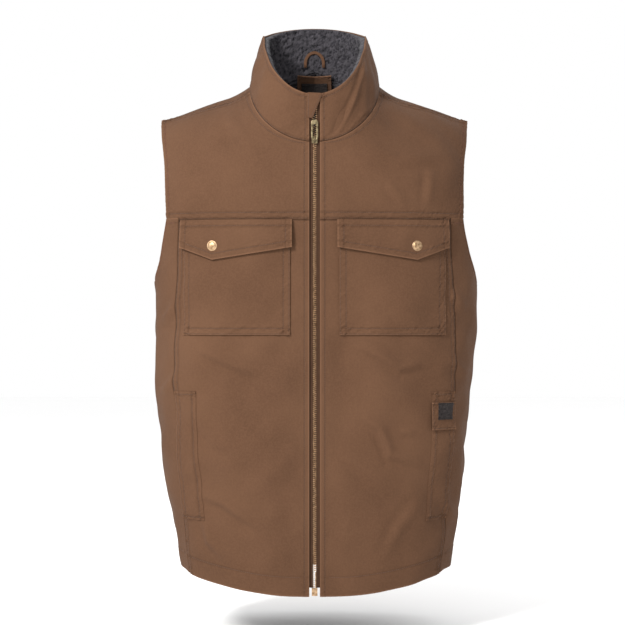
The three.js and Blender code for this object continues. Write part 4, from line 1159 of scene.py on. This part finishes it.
# The cap's outline in millimetres: radius, and height over the flap.
CAP_PROFILE = [(7.3, 0.0), (7.5, 0.25), (7.45, 0.6), (7.1, 0.85), (6.5, 0.9), (6.1, 0.8), (5.8, 1.0),
               (5.4, 1.5), (4.6, 1.95), (3.2, 2.25), (1.6, 2.38), (0.3, 2.4)]


def add_snap_caps():
    for hand, tag in HANDS:
        here = front_at(np.array(hand * SNAP_X), np.array(SNAP_Z))
        e = 0.0005
        over_x = front_at(np.array(hand * SNAP_X + e), np.array(SNAP_Z)) - here
        over_z = front_at(np.array(hand * SNAP_X), np.array(SNAP_Z + e)) - here
        normal = unit(np.cross(over_x, over_z))
        foot = FLAP_LIFT + CANVAS + PLY_GAP
        profile = [(r * MM, h * MM) for r, h in CAP_PROFILE]
        cap = lathe(f"snap_cap_{tag}_turned", profile, here + normal * foot, normal, BRASS,
                    f"chest_flap_{tag}")
        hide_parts(f"snap_cap_{tag}")


# A tooth's sections from tape to head, in millimetres: place across, half height and half depth.
TOOTH_SECTIONS = [(2.50, 0.50, 1.0), (2.1, 0.80, 1.45), (1.2, 0.78, 1.6), (0.6, 0.42, 1.1), (-0.4, 0.42, 1.0),
                  (-0.8, 0.28, 0.8)]
TEETH_TOP, TEETH_FOOT, TEETH_PARTED = -0.0336, {1: -0.7010, -1: -0.7230}, (-0.091, -0.075)
TAPE_Z, TAPE_EDGE = (-0.7235, -0.0290), 0.0022


def tooth(hand, z, shift):
    """One zip tooth: a clamp on the tape and a rounded head past the middle."""
    verts = []
    for x, half, deep in TOOTH_SECTIONS:
        for y, cut in ((-deep, 0.45), (-0.65 * deep, 1.0), (0.65 * deep, 1.0), (deep, 0.45)):
            verts.append(((x + shift) * hand, y, half * cut))
            verts.append(((x + shift) * hand, y, -half * cut))
    verts = np.array(verts) * MM + [0, TAPE_MID, z]
    ring = np.array([0, 2, 4, 6, 7, 5, 3, 1])
    index = ring + 8 * np.arange(len(TOOTH_SECTIONS))[:, None]
    faces = ring_quads(index).tolist() + [ring[::-1].tolist(), index[-1].tolist()]
    return verts, [f[::-1] for f in faces] if hand > 0 else faces


def add_zip():
    for hand, tag in HANDS:
        low = TEETH_FOOT[hand]
        verts, faces = [], []
        for k in range(int((TEETH_TOP - low) / PITCH)):
            z = low + (k + (0.75 if hand > 0 else 0.25)) * PITCH
            some, quads = tooth(hand, z, 1.1 * float(smooth(z, *TEETH_PARTED)))
            faces += [[i + len(some) * k for i in face] for face in quads]
            verts.append(some)
        teeth = add_mesh(f"zip_teeth_{tag}_moulded", np.concatenate(verts), faces, TEETH, "vest",
                         False)
        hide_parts(f"zip_teeth_{tag}")
        tape_face = lambda u, v: np.stack(np.broadcast_arrays(
            hand * lerp(TAPE_EDGE, TAPE_X, u), TAPE_MID + 0 * u, lerp(*TAPE_Z, v)), -1)
        bead = lambda base, u, v, lu, lv: (0.00045 * bump_at(lu, 0, 0.0016), 0 * u)
        sewn(f"zip_tape_{tag}", tape_face, 0.0004, steps=(0.0010, 0.0030), thick=0.0008,
             look=(TAPE, "zip_cloth"), strength=0, extra=bead)


# Slider and pull: places in metres, then the shield's and a rail's outlines in millimetres round its middle.
SLIDER_Z, SLIDER_BACK = -0.092, -0.1378
PULL_LENGTH, PULL_Y = 0.028, (-0.14315, -0.14135)
SHIELD = [(-4.0, 5.25), (4.0, 5.25), (4.7, 3.6), (3.9, -5.25), (-3.9, -5.25), (-4.7, 3.6)]
RAIL = [(3.7, 4.6), (4.7, 4.2), (4.3, -4.8), (3.7, -4.8)]
BAIL_Y, BAIL_Z = (-0.1405, -0.1443), (-0.0957, -0.0879)
# The garage's outline in X and Z, in metres.
GARAGE = [(-0.011, -0.025), (-0.011, -0.060), (-0.003, -0.062), (0.0105, -0.029), (0.0095, -0.026)]
GARAGE_Y = (-0.1419, -0.1403)


def mirrored(half):
    """A closed outline from its right half, starting at the middle's left."""
    right = np.array(half)
    left = right[::-1] * [-1, 1]
    return np.concatenate([left[-1:], right, left[:-1]])


def add_slider():
    dark, middle = (DARK_BRASS, "dark_brass"), [0, SLIDER_Z]
    body = plate("slider_body_cast", rounded(SHIELD, 1.6) * MM + middle, FRONT_PLATE, FRONT_PLATE + 0.0016,
                 0.0005, *dark, "slider")
    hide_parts("slider_body")
    for side, tag in HANDS:
        rail = rounded(np.array(RAIL) * [side, 1], 0.4) * MM + middle
        plate(f"slider_rail_{tag}", rail, FRONT_PLATE + 0.0012, SLIDER_BACK, 0.0003, *dark, "slider")
    pivot, reach = sum(BAIL_Z) / 2, (BAIL_Z[1] - BAIL_Z[0]) / 2
    turn = np.linspace(0, PI, 25)
    arch = np.stack([0 * turn, lerp(*BAIL_Y, np.sin(turn) ** 0.6), pivot - reach * np.cos(turn)], -1)
    bail = tube("slider_bail_cast", arch, 0.0011, 0.00055, (1, 0, 0), *dark, "slider")
    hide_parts("slider_bail")
    tip = pivot + PULL_LENGTH
    outline = mirrored([(0.0040, pivot - 0.0009), (0.0050, pivot + 0.003), (0.0050, tip - 0.003),
                        (0.0030, tip)])
    slot = mirrored([(0.0019, pivot + 0.0010), (0.0024, pivot + 0.004), (0.0024, tip - 0.009),
                     (0.0014, tip - 0.0065)])
    tab = plate("pull_tab_cast", rounded(outline, 0.0018), *PULL_Y, 0.0004, *dark, "pull",
                rounded(slot, 0.0014))
    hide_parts("pull_tab")
    garage = rounded(GARAGE, 0.003)
    cover = plate("zip_garage_cloth", garage, *GARAGE_Y, 0.0005, CLOTH, "canvas", "garage")
    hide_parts("zip_garage")
    points = np.insert(inset(garage, 0.0022), 1, GARAGE_Y[0], axis=1)
    normals = np.tile([0.0, -1.0, 0.0], (len(points), 1))
    STITCHES.setdefault("garage", []).append((points, normals, 0))


def add_thread():
    red = thread_material("armhole_thread", srgb(104, 58, 42), srgb(72, 38, 28))
    for key, lines in STITCHES.items():
        body = {"vest": "vest", "arm": "vest", "label": "vest", "garage": "garage"}.get(key)
        material = {"arm": red, "label": LABEL}.get(key, THREAD)
        made = add_stitches(f"stitches_{key}", lines, material, body)
        if body is None:
            blend_flap(made)


def finish_metal_nodes():
    """The CAD's own small hardware keeps its shape and takes a better metal."""
    bright, dark = ["insertion_pin", "retainer_box"], ["slider_back"]
    for _, tag in HANDS:
        bright += [f"top_stop_{tag}", f"snap_socket_{tag}", f"snap_stud_{tag}"]
        dark.append(f"hidden_snap_{tag}")
    for metal_look, names in ((BRASS, bright), (DARK_BRASS, dark)):
        for name in names:
            for place in bpy.data.objects[name].material_slots:
                place.material = metal_look


# ---- studio ----
EYE, LENS, SENSOR = (-0.003, -2.600, -0.3353), 100.57, 36
FLOOR_Z, FLOOR_HALF = -0.80, 7.0


def add_camera():
    view = bpy.data.cameras.new("camera")
    view.lens, view.sensor_width = LENS, SENSOR
    eye = bpy.data.objects.new("camera", view)
    eye.location, eye.rotation_euler = EYE, (QUARTER, 0, 0)
    bpy.context.scene.collection.objects.link(eye)
    bpy.context.scene.camera = eye


def add_light(name, place, aim, size, power, colour=(1, 1, 1)):
    lamp = bpy.data.lights.new(name, "AREA")
    lamp.shape, lamp.size, lamp.energy, lamp.color = "DISK", size, power, colour
    made = bpy.data.objects.new(name, lamp)
    made.location = place
    reach = np.array(aim) - np.array(place)
    flat = math.hypot(reach[0], reach[1])
    made.rotation_euler = (math.atan2(flat, -reach[2]), 0, math.atan2(reach[1], reach[0]) - QUARTER)
    bpy.context.scene.collection.objects.link(made)


def add_studio():
    world = bpy.data.worlds.new("studio")
    world.use_nodes = True
    world.node_tree.nodes["Background"].inputs["Color"].default_value = (1, 1, 1, 1)
    world.node_tree.nodes["Background"].inputs["Strength"].default_value = 1.0
    bpy.context.scene.world = world
    bpy.context.scene.view_settings.view_transform = "Standard"
    add_light("key", (-1.5, -2.1, 1.2), (0, 0, -0.35), 0.8, 114, (1.0, 0.99, 0.97))
    add_light("back_fill", (1.6, 2.2, 1.0), (0, 0, -0.3), 1.6, 22)
    pale = Shading("pale_floor")
    mottle = pale.texture(None, Scale=3.0, Detail=2.0)
    tint = pale.ramp(mottle, [(0.3, (0.955, 0.955, 0.955, 1)), (0.7, (0.975, 0.975, 0.975, 1))])
    corners = ((-1, -1), (1, -1), (1, 1), (-1, 1))
    verts = [(x * FLOOR_HALF, y * FLOOR_HALF, FLOOR_Z) for x, y in corners]
    floor = add_mesh("studio_floor", verts, [[0, 1, 2, 3]], pale.finish(tint, Roughness=0.9), None)


add_camera()
add_studio()
add_shell()
add_collar()
add_linings()
add_armhole_facings()
add_chest_pockets()
add_hand_pockets()
add_neck_pieces()
add_snap_caps()
add_zip()
add_slider()
add_thread()
finish_metal_nodes()
